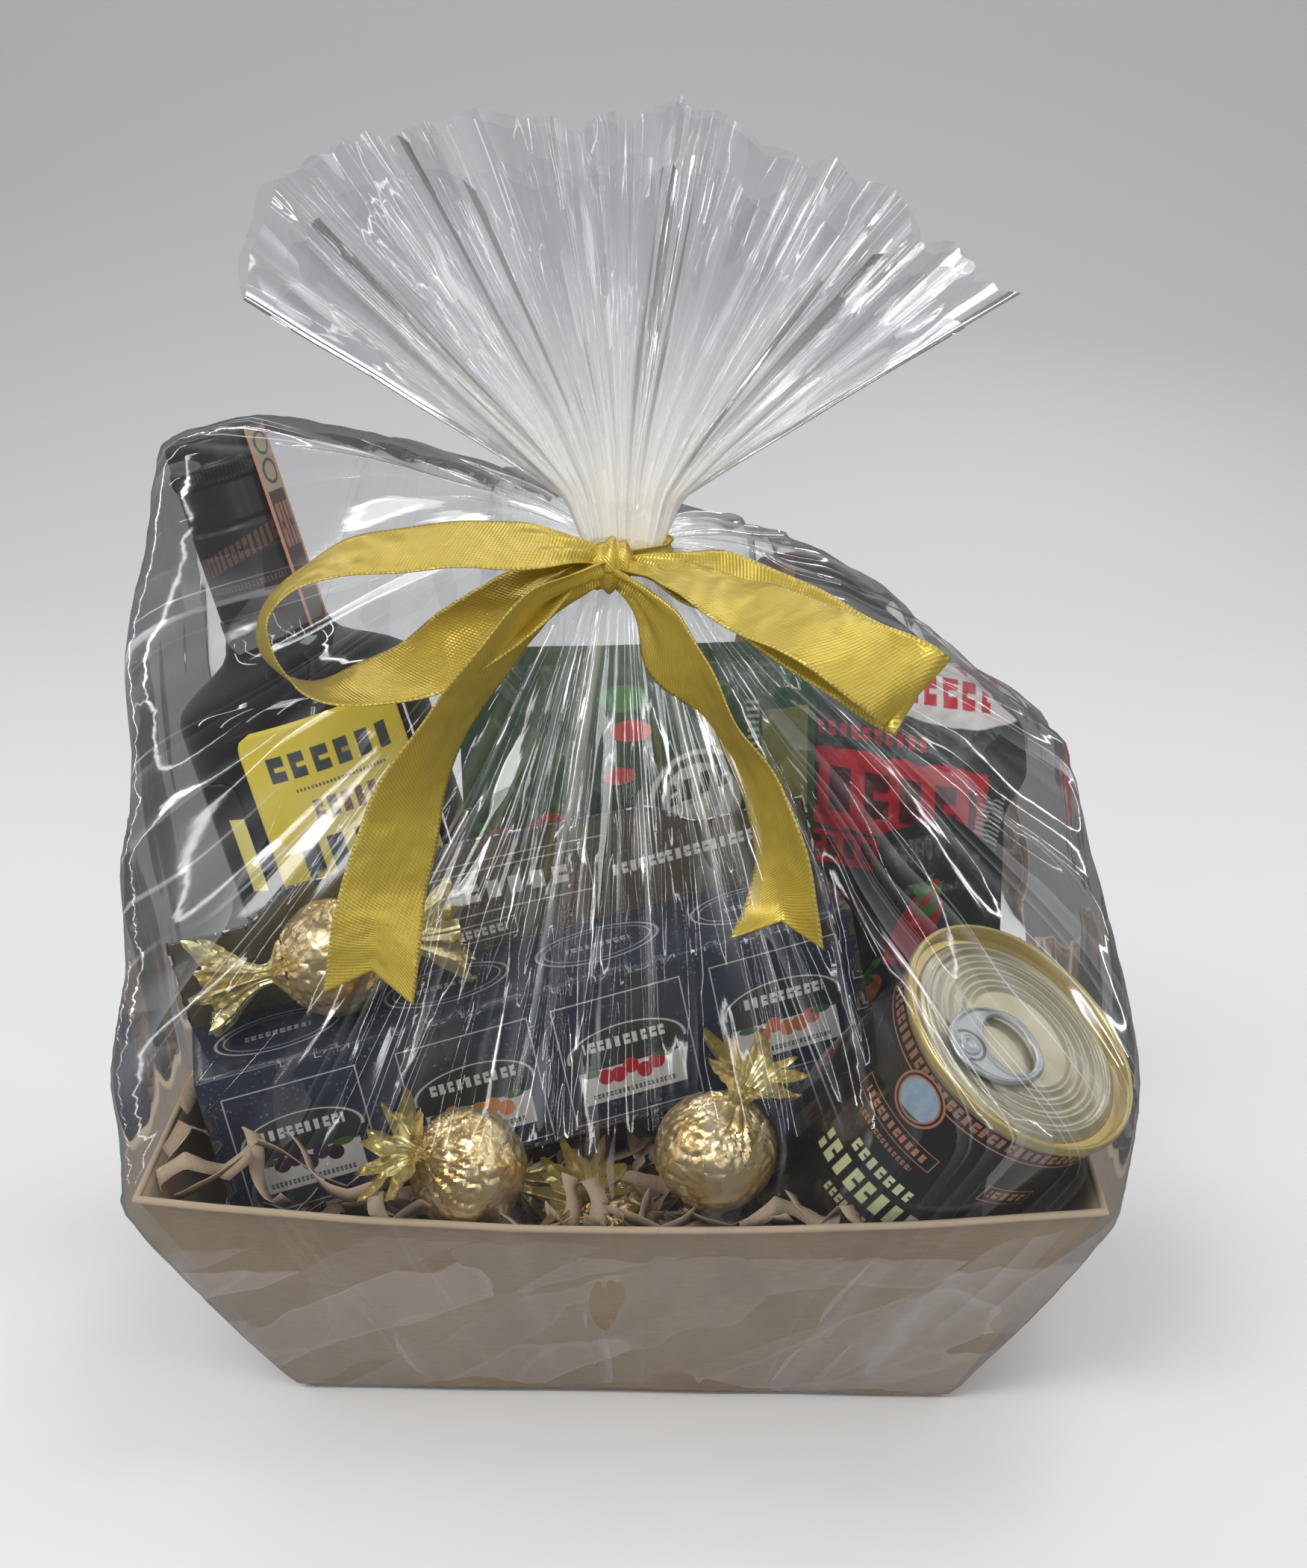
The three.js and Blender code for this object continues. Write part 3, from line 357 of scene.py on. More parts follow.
class Shader:
    """A material's or the world's node tree, and the few ways that the finishes use it."""

    def __init__(self, owner: bpy.types.Material | bpy.types.World) -> None:
        """Empties the tree of a material or a world."""
        owner.use_nodes = True
        self.owner = owner
        self.tree = owner.node_tree
        self.tree.nodes.clear()

    def node(self, kind: str, settings: dict | None = None, inputs: dict | None = None) -> bpy.types.Node:
        """Makes any shader node.

        Args:
            kind: the node's type, without ShaderNode.
            settings: the node's own settings, set first; stops gives a ramp's (place, colour) pairs.
            inputs: values or links, by the socket's name or number.

        Returns:
            The node.
        """
        made = self.tree.nodes.new("ShaderNode" + kind)
        settings = dict(settings or {})
        stops = settings.pop("stops", ())
        for _ in stops[2:]:
            made.color_ramp.elements.new(0.5)
        for number, (place, colour) in enumerate(stops):
            made.color_ramp.elements[number].position = place
            made.color_ramp.elements[number].color = (*colour, 1)
        for key, value in settings.items():
            setattr(made, key, value)
        for key, value in (inputs or {}).items():
            socket = made.inputs[key]
            if isinstance(value, Number | Socket):
                self.tree.links.new(getattr(value, "socket", value), socket)
            elif socket.type == "RGBA":
                socket.default_value = (*value[:3], 1)
            else:
                socket.default_value = value
        return made

    def math(self, operation: str, *operands: Amount) -> Number:
        """One Math node on the operands."""
        node = self.node("Math", {"operation": operation}, dict(enumerate(operands)))
        return Number(self, node.outputs[0])

    def here(self) -> Socket:
        """The point's object coordinates, in mm."""
        return self.stretch(self.node("TexCoord").outputs["Object"], 1000, 1000, 1000)

    def carried(self, name: str = "local") -> Socket:
        """The vectors that the mesh carries by a name."""
        return self.node("Attribute", {"attribute_name": name}).outputs["Vector"]

    def local(self) -> tuple[Number, Number, Number]:
        """The three numbers of the carried vectors called local."""
        return self.split(self.carried())

    def stretch(self, vector: Socket, x: float, y: float, z: float) -> Socket:
        """A vector with each value multiplied."""
        return self.node("VectorMath", {"operation": "MULTIPLY"}, {0: vector, 1: (x, y, z)}).outputs[0]

    def split(self, vector: Socket) -> tuple[Number, Number, Number]:
        """A vector's three numbers."""
        node = self.node("SeparateXYZ", None, {0: vector})
        return tuple(Number(self, output) for output in node.outputs)

    def vector(self, x: Amount, y: Amount, z: Amount = 0.0) -> Socket:
        """Three numbers as a vector."""
        return self.node("CombineXYZ", None, {0: x, 1: y, 2: z}).outputs[0]

    def noise(self, vector: Socket, size: float, detail: float = 3, rough: float = 0.55) -> Number:
        """Noise with blotches about size across, from 0 to 1."""
        inputs = {"Vector": vector, "Scale": 1 / size, "Detail": detail, "Roughness": rough}
        return Number(self, self.node("TexNoise", None, inputs).outputs[0])

    def cells(self, vector: Socket, size: float, feature: str = "F1", loose: float = 1.0) -> Number:
        """The distance in a pattern of cells about size across: from a cell's middle, or from its edge."""
        inputs = {"Vector": vector, "Scale": 1 / size, "Randomness": loose}
        return Number(self, self.node("TexVoronoi", {"feature": feature}, inputs).outputs["Distance"])

    def cell_tone(self, vector: Socket, size: float) -> Number:
        """One random number for each cell of such a pattern."""
        node = self.node("TexVoronoi", None, {"Vector": vector, "Scale": 1 / size})
        return self.split(node.outputs["Color"])[0]

    def mix(self, factor: Amount, first: Paint, second: Paint) -> Socket:
        """A colour between two."""
        return self.node("Mix", {"data_type": "RGBA"}, {0: factor, 6: first, 7: second}).outputs[2]

    def ramp(self, factor: Number, *stops: tuple[float, Colour]) -> Socket:
        """A colour from stops along a scale, each a place and a colour."""
        return self.node("ValToRGB", {"stops": stops}, {0: factor}).outputs[0]

    def bump(self, height: Number, depth: float, strength: float = 1.0) -> Socket:
        """A normal from a height from 0 to 1, where 1 stands depth mm proud."""
        inputs = {"Height": height, "Distance": depth * MM, "Strength": strength}
        return self.node("Bump", None, inputs).outputs[0]

    def coat(self, colour: Paint, rough: Amount, **inputs: Amount | Paint) -> Socket:
        """A Principled shader; underscores in the other inputs' names stand for spaces."""
        named = {key.replace("_", " "): value for key, value in inputs.items()}
        named |= {"Base Color": colour, "Roughness": rough}
        return self.node("BsdfPrincipled", None, named).outputs[0]

    def blend(self, factor: Amount, first: Socket, second: Socket) -> Socket:
        """One shader mixed into another."""
        return self.node("MixShader", None, {0: factor, 1: first, 2: second}).outputs[0]

    def done(self, surface: Socket, kind: str = "Material") -> bpy.types.Material | bpy.types.World:
        """Ends the tree in a surface shader."""
        self.node("Output" + kind, None, {"Surface": surface})
        return self.owner


class Print:
    """Printing laid shape by shape over a ground colour, in mm across and up."""

    def __init__(self, shader: Shader, across: Number, up: Number, ground: Paint) -> None:
        """Starts from the bare ground."""
        self.shader = shader
        self.across = across
        self.up = up
        self.colour = ground

    def lay(self, mask: Number, colour: Paint) -> None:
        """Prints a colour where the mask is 1."""
        self.colour = self.shader.mix(mask, self.colour, colour)

    def sloped(self, slope: float) -> Number:
        """The height over a line that rises by the slope, in mm up for each mm across."""
        return self.up - self.across * slope if slope else self.up

    def box(self, left: float, right: float, low: float, high: float, slope: float = 0.0) -> Number:
        """The mask of a rectangle, whose head and foot may slope."""
        return self.across.within(left, right) * self.sloped(slope).within(low, high)

    def away(self, across: float, up: float, wide: float, high: float) -> Number:
        """The square of the distance from an oval's middle, 1 on its edge, by its middle and half sizes."""
        x, y = (self.across - across) / wide, (self.up - up) / high
        return x * x + y * y

    def oval(self, across: float, up: float, wide: float, high: float) -> Number:
        """The mask of an oval, by its middle and half sizes."""
        return self.away(across, up, wide, high).fall(0.94, 1.06)

    def outline(self, across: float, up: float, wide: float, high: float, line: float) -> Number:
        """The mask of an oval's line."""
        share = line / min(wide, high)
        return self.away(across, up, wide, high).within(1 - share, 1 + share, share)

    def frame(self, left: float, right: float, low: float, high: float, line: float) -> Number:
        """The mask of a rectangle's line."""
        return self.box(left, right, low, high) - self.box(left + line, right - line, low + line, high - line)

    def marks(self, left: float, right: float, low: float, high: float, pitch: float,
              slope: float = 0.0) -> Number:
        """The mask of a row of small uneven blocks, some notched, which stands where words were."""
        cell = (self.across / pitch).floor()
        chance = ((cell * 12.9898 + low * 3.1).sine() * 43758.5).fract()
        within = (self.across / pitch).fract()
        block = within.rise(0.1, 0.14) * (within - chance * 0.25).fall(0.62, 0.66)
        tall = high - low
        middle = low + tall * 0.5
        notch = self.sloped(slope).within(middle - tall * 0.09, middle + tall * 0.09, 0.04 * tall)
        notch = notch * within.rise(0.36, 0.4) * chance.rise(0.4, 0.42)
        return self.box(left, right, low, high, slope) * block * (1 - notch)

    def film(self, rough: float, gloss: float, blur: float, size: float, depth: float) -> Socket:
        """The page as a pack's film: its roughness, gloss over it, and wrinkles' size and depth in mm."""
        shader = self.shader
        wrinkle = shader.bump(shader.noise(shader.here(), size, 4, 0.6), depth, 0.6)
        return shader.coat(self.colour, rough, Coat_Weight=gloss, Coat_Roughness=blur, Normal=wrinkle)


# Finishes


class Finish:
    """A finish of the basket: the record's slot that it belongs to, and the material that it makes once."""

    slot: str = ""
    made: dict[str, bpy.types.Material] = {}

    def paint(self, shader: Shader) -> Socket:
        """Builds the finish in a shader and returns its surface."""
        raise NotImplementedError

    def material(self) -> bpy.types.Material:
        """The finish's material, made at the first call."""
        key = repr(self)
        if key not in self.made:
            shader = Shader(bpy.data.materials.new(self.slot))
            self.made[key] = shader.done(self.paint(shader))
        return self.made[key]


@dataclass(frozen=True)
class KraftBoard(Finish):
    """Smooth brown board with a faint fibre, paler on its cut and rolled edges."""

    slot: str = "kraft_board"
    colour: Colour = (0.285, 0.215, 0.148)
    dark: Colour = (0.232, 0.17, 0.112)
    edge: Colour = (0.52, 0.4, 0.27)

    def paint(self, shader: Shader) -> Socket:
        """Fibre runs sideways; the carried vectors' third number is 1 on the edge."""
        here = shader.here()
        fibre = shader.noise(shader.stretch(here, 0.35, 1, 2.2), 1.6, 6, 0.7)
        cloud = shader.noise(here, 38, 3)
        fleck = shader.cells(here, 3.2).fall(0.05, 0.09)
        colour = shader.mix((fibre * 0.5 + cloud * 0.5).rise(0.38, 0.62), self.dark, self.colour)
        colour = shader.mix(fleck * 0.35, colour, (0.2, 0.13, 0.08))
        rim = shader.local()[2]
        colour = shader.mix(rim * 0.75, colour, self.edge)
        return shader.coat(colour, fibre * 0.2 + 0.62, Normal=shader.bump(fibre, 0.12, 0.5))


@dataclass(frozen=True)
class KraftShred(Finish):
    """Matt shredded kraft paper, each strip in its own tone."""

    slot: str = "kraft_shred"

    def paint(self, shader: Shader) -> Socket:
        """The carried vectors' third number is the strip's tone; creases cross the strip."""
        across, along, tone = shader.local()
        here = shader.here()
        fibre = shader.noise(here, 0.9, 5, 0.7)
        browns = (0.15, (0.12, 0.08, 0.05)), (0.5, (0.27, 0.19, 0.125)), (0.85, (0.46, 0.35, 0.24))
        colour = shader.ramp(tone * 0.75 + fibre * 0.25, *browns)
        edge = abs(across).rise(2.1, 2.5)
        colour = shader.mix(edge * 0.4, colour, (0.5, 0.38, 0.26))
        crease = shader.noise(shader.vector(along * 0.55, across * 0.12), 1.2, 2)
        return shader.coat(colour, 0.85, Normal=shader.bump(crease + fibre * 0.3, 0.5))


@dataclass(frozen=True)
class DarkGlass(Finish):
    """Thick, almost black bottle glass with a polished skin."""

    slot: str = "dark_glass"

    def paint(self, shader: Shader) -> Socket:
        """Slow waves in the glass bend its highlights."""
        here = shader.here()
        wave = shader.noise(here, 26, 2)
        smear = shader.noise(here, 9, 4, 0.65)
        colour = shader.mix(wave.rise(0.4, 0.7), (0.006, 0.007, 0.008), (0.016, 0.015, 0.014))
        return shader.coat(colour, smear.rise(0.45, 0.8) * 0.14 + 0.05, Coat_Weight=0.6,
                           Coat_Roughness=0.04, Normal=shader.bump(wave, 1.4, 0.5))


@dataclass(frozen=True)
class BlackCap(Finish):
    """Satin black cap with faint copper printing."""

    slot: str = "black_cap"
    copper: Colour = (0.42, 0.2, 0.1)

    def paint(self, shader: Shader) -> Socket:
        """Two rows of copper strokes run round the long skirt, under a fine brushed grain."""
        angle, radius, height = shader.local()
        grain = shader.noise(shader.vector(angle * 0.3, radius * 0.5, height * 4), 2.2, 4)
        page = Print(shader, angle * 0.27, height, (0.018, 0.018, 0.02))
        strokes = page.marks(-60, 60, 225, 231, 2.1, 0.25) * 0.26
        page.lay(strokes, self.copper)
        page.lay(page.marks(-60, 60, 216.5, 218.4, 1.2) * 0.22, self.copper)
        return shader.coat(page.colour, grain * 0.2 + 0.25, Metallic=strokes * 0.6,
                           Normal=shader.bump(grain, 0.08, 0.4))


@dataclass(frozen=True)
class YellowLabel(Finish):
    """Yellow bottle label, paler in the middle, with dark bars where words were."""

    slot: str = "yellow_label"
    side: bool = False
    yellow: Colour = (0.66, 0.52, 0.045)
    pale: Colour = (0.72, 0.67, 0.28)
    ink: Colour = (0.035, 0.045, 0.055)

    def paint(self, shader: Shader) -> Socket:
        """Local coordinates are mm across from the left edge and mm up from the foot."""
        across, _, up = shader.local()
        cloud = shader.noise(shader.carried(), 30, 2)
        middle = up.within(14, 66, 12) * across.within(16, 60, 12)
        page = Print(shader, across, up, shader.mix(middle * (cloud * 0.5 + 0.6), self.yellow, self.pale))
        if self.side:
            page.lay(1 - page.box(12, 19.4, 38, 62), (0.016, 0.018, 0.02))
            page.lay(page.marks(2, 18, 20, 23, 1.6), (0.3, 0.26, 0.08))
            page.lay(page.marks(2, 18, 28, 30, 1.3), (0.3, 0.26, 0.08))
        else:
            page.lay(page.marks(7, 50, 73, 81, 7.2), (0.05, 0.06, 0.065))
            page.lay(page.marks(14, 44, 68.6, 69.6, 1.2), (0.14, 0.13, 0.09))
            page.lay(page.marks(17, 40, 58.5, 65, 4.4), (0.2, 0.115, 0.085))
            tall = page.marks(9, 53, 28, 53, 8.8)
            page.lay(tall, self.ink)
            page.lay(page.marks(9.9, 53, 29.5, 51.5, 8.8) * tall, (0.1, 0.125, 0.14))
            page.lay(page.marks(9, 50, 16, 20, 1.9), self.ink)
        fibre = shader.noise(shader.carried(), 0.5, 3)
        return shader.coat(page.colour, fibre * 0.15 + 0.36, Normal=shader.bump(fibre, 0.03))


@dataclass(frozen=True)
class PaperSeal(Finish):
    """The seal strip over the cap: salmon paper with rings and fine rules."""

    slot: str = "paper_seal"

    def paint(self, shader: Shader) -> Socket:
        """Local is mm across and up; dark rings on a pale field, and an orange rule down each side."""
        across, _, up = shader.local()
        page = Print(shader, across, up, (0.075, 0.055, 0.045))
        page.lay(page.box(1.2, 9.6, 44, 64), (0.34, 0.28, 0.2))
        page.lay(page.outline(5.4, 59, 3.1, 3.4, 0.8), (0.04, 0.035, 0.03))
        page.lay(page.outline(5.4, 50, 3.1, 3.6, 0.8), (0.04, 0.035, 0.03))
        page.lay(page.marks(2, 9, 26, 40, 1.9), (0.3, 0.15, 0.1))
        page.lay(page.box(0, 1.2, 0, 66), (0.52, 0.25, 0.15))
        page.lay(page.box(9.3, 11, 0, 66), (0.52, 0.25, 0.15))
        fibre = shader.noise(shader.carried(), 0.5, 3)
        return shader.coat(page.colour, 0.55, Normal=shader.bump(fibre, 0.05))


class Face(Enum):
    """The faces of the carton that carry different printing."""

    FRONT = 0.0
    TOP = 1.0
    HEADER = 2.0
    PLAIN = 3.0
    EDGE = 4.0


@dataclass(frozen=True)
class NavyCard(Finish):
    """Coated navy card with small pale dots, framed fruit labels and a dark arched header."""

    slot: str = "navy_card"
    navy: Colour = (0.022, 0.028, 0.052)
    dot: Colour = (0.1, 0.15, 0.15)
    line: Colour = (0.42, 0.42, 0.4)
    label: Colour = (0.56, 0.55, 0.52)
    jars: tuple[float, ...] = (26.0, 78.0, 125.0, 174.0)
    fruits: tuple[Colour, ...] = (
        (0.05, 0.02, 0.045), (0.6, 0.2, 0.04), (0.42, 0.02, 0.03), (0.5, 0.14, 0.06),
    )

    def fruit_label(self, page: Print, middle: float, fruit: Colour, seed: float) -> None:
        """Prints one framed label: a dark arched band over a pale field with a bunch of fruit."""
        page.lay(page.frame(middle - 20, middle + 20, 3, 43, 0.4), self.line)
        page.lay(page.box(middle - 16, middle + 16, 9, 27), self.label)
        band = page.oval(middle, 25, 19, 9) * page.box(middle - 18, middle + 18, 20, 40)
        page.lay(band, (0.03, 0.035, 0.035))
        arc = page.outline(middle, 25, 18, 8, 0.35) * page.box(middle - 20, middle + 20, 24, 40)
        page.lay(arc, self.label)
        page.lay(page.marks(middle - 13, middle + 13, 26, 29.4, 2.7), self.label)
        for step in range(5):
            lift = 1.4 * math.sin(step * 2.4 + seed)
            page.lay(page.oval(middle - 8 + step * 4, 17.5 + lift, 2.5, 2.6), fruit)
        page.lay(page.oval(middle + 11, 20, 3, 1.3), (0.06, 0.12, 0.04))
        page.lay(page.oval(middle - 12, 19, 3, 1.2), (0.06, 0.12, 0.04))
        page.lay(page.marks(middle - 13, middle + 13, 10.4, 12, 1.3), (0.1, 0.1, 0.09))

    def paint(self, shader: Shader) -> Socket:
        """Carried local is mm along, mm up or back, and the face's number."""
        along, up, face = shader.local()
        flat = shader.vector(along, up)
        dots = shader.cells(flat, 1.7, "F1", 0.8).fall(0.2, 0.3) * shader.noise(flat, 14, 2).rise(0.35, 0.6)
        ground = shader.mix(dots * 0.8, self.navy, self.dot)
        front = Print(shader, along, up, ground)
        front.lay(front.box(0, 201, 0, 1.8), (0.3, 0.3, 0.29))
        for number, (middle, fruit) in enumerate(zip(self.jars, self.fruits)):
            self.fruit_label(front, middle, fruit, number * 1.7)
        top = Print(shader, along, up, ground)
        for middle in self.jars:
            top.lay(top.outline(middle, 21, 19, 12, 0.5), self.line)
            top.lay(top.outline(middle, 21, 16.5, 9.8, 0.25), self.line)
            top.lay(top.marks(middle - 10, middle + 10, 19, 22, 2.2) * 0.7, self.line)
        olive = shader.mix(dots * 0.6, (0.08, 0.066, 0.038), (0.15, 0.145, 0.1))
        arch = (along - 88) * (along - 88) / 900
        curved = Print(shader, along, up + arch * 0.85, olive)
        curved.lay(curved.frame(46, 130, 11.5, 26, 0.45), self.line)
        curved.lay(curved.marks(52, 124, 15.8, 21.6, 6.9) * 0.85, self.label)
        curved.lay(curved.box(40, 136, 28.6, 29.0), self.line)
        header = Print(shader, along, up, curved.colour)
        header.lay(header.frame(76, 104, 2.6, 8.4, 0.35), self.line)
        header.lay(header.marks(79, 101, 4.2, 6.9, 2.5), self.label)
        header.lay(header.marks(136, 190, 12.4, 16, 2.9), self.label)
        colour = shader.mix(face.within(0.5, 1.5, 0.1), front.colour, top.colour)
        colour = shader.mix(face.within(1.5, 2.5, 0.1), colour, header.colour)
        colour = shader.mix(face.within(2.5, 3.5, 0.1), colour, ground)
        colour = shader.mix(face.rise(3.6, 3.9), colour, (0.62, 0.58, 0.5))
        wear = shader.noise(flat, 5, 5, 0.7)
        return shader.coat(colour, wear * 0.25 + 0.2, Coat_Weight=0.3, Coat_Roughness=0.15,
                           Normal=shader.bump(shader.noise(flat, 22, 2), 0.7, 0.5))


@dataclass(frozen=True)
class BlackTinplate(Finish):
    """Printed can wall: glossy black, a copper ring of marks under the seam and a round emblem."""

    slot: str = "black_tinplate"
    copper: Colour = (0.34, 0.15, 0.08)

    def paint(self, shader: Shader) -> Socket:
        """Local coordinates are the angle from the front, the radius and the height."""
        angle, _, up = shader.local()
        across = angle * 0.632
        black = (0.012, 0.011, 0.011)
        page = Print(shader, across, up, black)
        page.lay(page.box(-130, 130, 80.6, 81.1), self.copper)
        page.lay(page.marks(-130, 130, 82.4, 86.0, 2.9) * 0.8, self.copper)
        page.lay(page.box(-130, 130, 87.2, 87.6), self.copper)
        for size, tone in ((8.4, self.copper), (7.7, black), (7.0, self.copper)):
            page.lay(page.oval(-26, 77, size, size), tone)
        sky = shader.noise(shader.carried(), 5, 3)
        disc = page.oval(-26, 77, 6.4, 6.4)
        page.lay(disc, shader.mix(sky, (0.12, 0.2, 0.28), (0.34, 0.42, 0.48)))
        page.lay(disc * page.box(-40, -10, 60, 75.5, 0.15), (0.05, 0.075, 0.05))
        page.lay(page.frame(-42, -10, 61, 67, 0.3), self.copper)
        page.lay(page.marks(-39, -13, 62.4, 65.2, 2.5), self.copper)
        page.lay(page.marks(-36, -14, 57, 58.8, 1.6) * 0.8, self.copper)
        page.lay(page.frame(6, 22, 61, 68, 0.4), self.copper)
        page.lay(page.marks(8, 20, 63, 66.4, 3), self.copper)
        page.lay(page.marks(-31, -8, 47.5, 51.6, 3.4), (0.5, 0.5, 0.3))
        page.lay(page.marks(-38, 0, 36.5, 44.5, 5), (0.5, 0.52, 0.28))
        page.lay(page.marks(-28, -11, 30, 33.2, 2.3), (0.42, 0.42, 0.24))
        page.lay(page.oval(-58, 24, 11, 5), (0.045, 0.035, 0.075))
        page.lay(page.oval(-66, 33, 6, 6), (0.03, 0.025, 0.05))
        wear = shader.noise(shader.here(), 4, 4)
        return shader.coat(page.colour, wear * 0.15 + 0.18, Coat_Weight=0.5,
                           Normal=shader.bump(shader.noise(shader.here(), 30, 2), 0.5, 0.4))


@dataclass(frozen=True)
class LacqueredTin(Finish):
    """Gold lacquered lid with fine turning lines and a few scuffs."""

    slot: str = "gold_tinplate"
    gold: Colour = (0.5, 0.465, 0.33)
    dull: Colour = (0.44, 0.4, 0.27)
    deep: Colour = (0.56, 0.44, 0.17)

    def paint(self, shader: Shader) -> Socket:
        """Lines follow the rolled circles of the lid."""
        angle, radius, _ = shader.local()
        line = shader.noise(shader.vector(radius * 6, angle * 0.01), 1.4, 3)
        scuff = shader.noise(shader.here(), 14, 3, 0.6)
        colour = shader.mix(scuff.rise(0.35, 0.7), self.gold, self.dull)
        colour = shader.mix(radius.rise(32.5, 34), colour, self.deep)
        return shader.coat(colour, scuff * 0.08 + 0.27, Metallic=0.65,
                           Normal=shader.bump(line, 0.01, 0.15))


@dataclass(frozen=True)
class RingMetal(Finish):
    """Bare aluminium of the ring pull, satin with fine scratches."""

    slot: str = "ring_metal"

    def paint(self, shader: Shader) -> Socket:
        """Scratches run across the tab."""
        here = shader.here()
        scratch = shader.noise(shader.stretch(here, 0.3, 3, 0.3), 0.9, 4, 0.7)
        x, y, _ = shader.local()
        from_rivet = ((x + 8.8) * (x + 8.8) + y * y) ** 0.5
        slot = from_rivet.within(4.3, 5.3) * (x + abs(y) * 0.6).rise(-9, -8)
        colour = shader.mix(scratch, (0.42, 0.44, 0.45), (0.58, 0.6, 0.61))
        colour = shader.mix(slot * 0.8, colour, (0.06, 0.06, 0.05))
        return shader.coat(colour, scratch * 0.2 + 0.25, Metallic=0.75,
                           Normal=shader.bump(scratch, 0.04, 0.5))


@dataclass(frozen=True)
class SoupPouch(Finish):
    """Dark green glossy pouch printed with vegetables, a pale oval and a lighter side panel."""

    slot: str = "green_pouch"

    def paint(self, shader: Shader) -> Socket:
        """Local is mm to the right of the pouch's middle and mm up."""
        across, _, up = shader.local()
        flat = shader.carried()
        leaf = shader.noise(shader.stretch(flat, 1, 1, 0.5), 16, 3)
        greens = (0.3, (0.012, 0.04, 0.02)), (0.55, (0.02, 0.07, 0.03)), (0.75, (0.05, 0.12, 0.04))
        page = Print(shader, across, up, shader.ramp(leaf, *greens))
        broth = shader.mix(leaf.rise(0.4, 0.6), (0.4, 0.13, 0.07), (0.5, 0.25, 0.12))
        page.lay(page.box(-60, -10, -40, -2), broth)
        for step, (x, y, size) in enumerate([(-44, 2, 8), (-30, 8, 6), (-18, -3, 7), (-8, 22, 5), (3, 9, 5)]):
            red = (0.5, 0.035, 0.025) if step % 2 else (0.45, 0.09, 0.03)
            page.lay(page.oval(x, y, size, size * 0.55), red)
            page.lay(page.oval(x - size * 0.8, y + size * 0.5, size * 0.3, size * 0.25), (0.04, 0.2, 0.03))
        page.lay(page.oval(-4, 36, 6.5, 3.4), (0.6, 0.04, 0.03))
        page.lay(page.oval(-6, 46, 8, 4), (0.05, 0.24, 0.05))
        page.lay(page.oval(20, 12, 19, 17), (0.5, 0.5, 0.4))
        page.lay(page.oval(20, 12, 17.4, 15.4), (0.03, 0.045, 0.03))
        page.lay(page.oval(18, 12, 13, 12.5), (0.42, 0.43, 0.36))
        page.lay(page.marks(8, 30, 8, 15, 5.6, 0.35), (0.03, 0.035, 0.03))
        page.lay(page.box(38, 54, -30, 40), shader.mix(leaf, (0.1, 0.12, 0.03), (0.22, 0.22, 0.06)))
        page.lay(page.box(33, 37, 0, 44) * (up / 2.2).fract().within(0.2, 0.7, 0.08), (0.3, 0.32, 0.22))
        return page.film(0.28, 0.35, 0.12, 9, 1.2)


@dataclass(frozen=True)
class PepperPouch(Finish):
    """Black pouch printed with a red and an orange pepper with green stems."""

    slot: str = "black_pouch"

    def paint(self, shader: Shader) -> Socket:
        """Local is mm to the right of the pouch's middle and mm up."""
        across, _, up = shader.local()
        glow = shader.noise(shader.carried(), 7, 2)
        red = shader.mix(glow.rise(0.5, 0.7), (0.3, 0.012, 0.02), (0.55, 0.06, 0.05))
        amber = shader.mix(glow.rise(0.5, 0.7), (0.5, 0.14, 0.05), (0.65, 0.3, 0.12))
        tilted = Print(shader, across - up * 0.55, up, (0.018, 0.02, 0.019))
        peppers = (-13, 13, 5.2, 14, red), (-8, 9, 3.6, 11, red), (-15, -14, 4.4, 10, amber)
        for x, y, wide, high, tone in peppers:
            tilted.lay(tilted.oval(x, y, wide, high), tone)
            tilted.lay(tilted.box(x - 3, x - 1.2, y + 9, y + 20, 0.3), (0.05, 0.16, 0.035))
            tilted.lay(tilted.oval(x - 2.4, y + high - 3, 3.2, 2.1), (0.045, 0.14, 0.03))
        tilted.lay(tilted.marks(-2, 14, -24, -20, 2.4, -0.6), (0.35, 0.36, 0.33))
        return tilted.film(0.26, 0.3, 0.12, 8, 1)


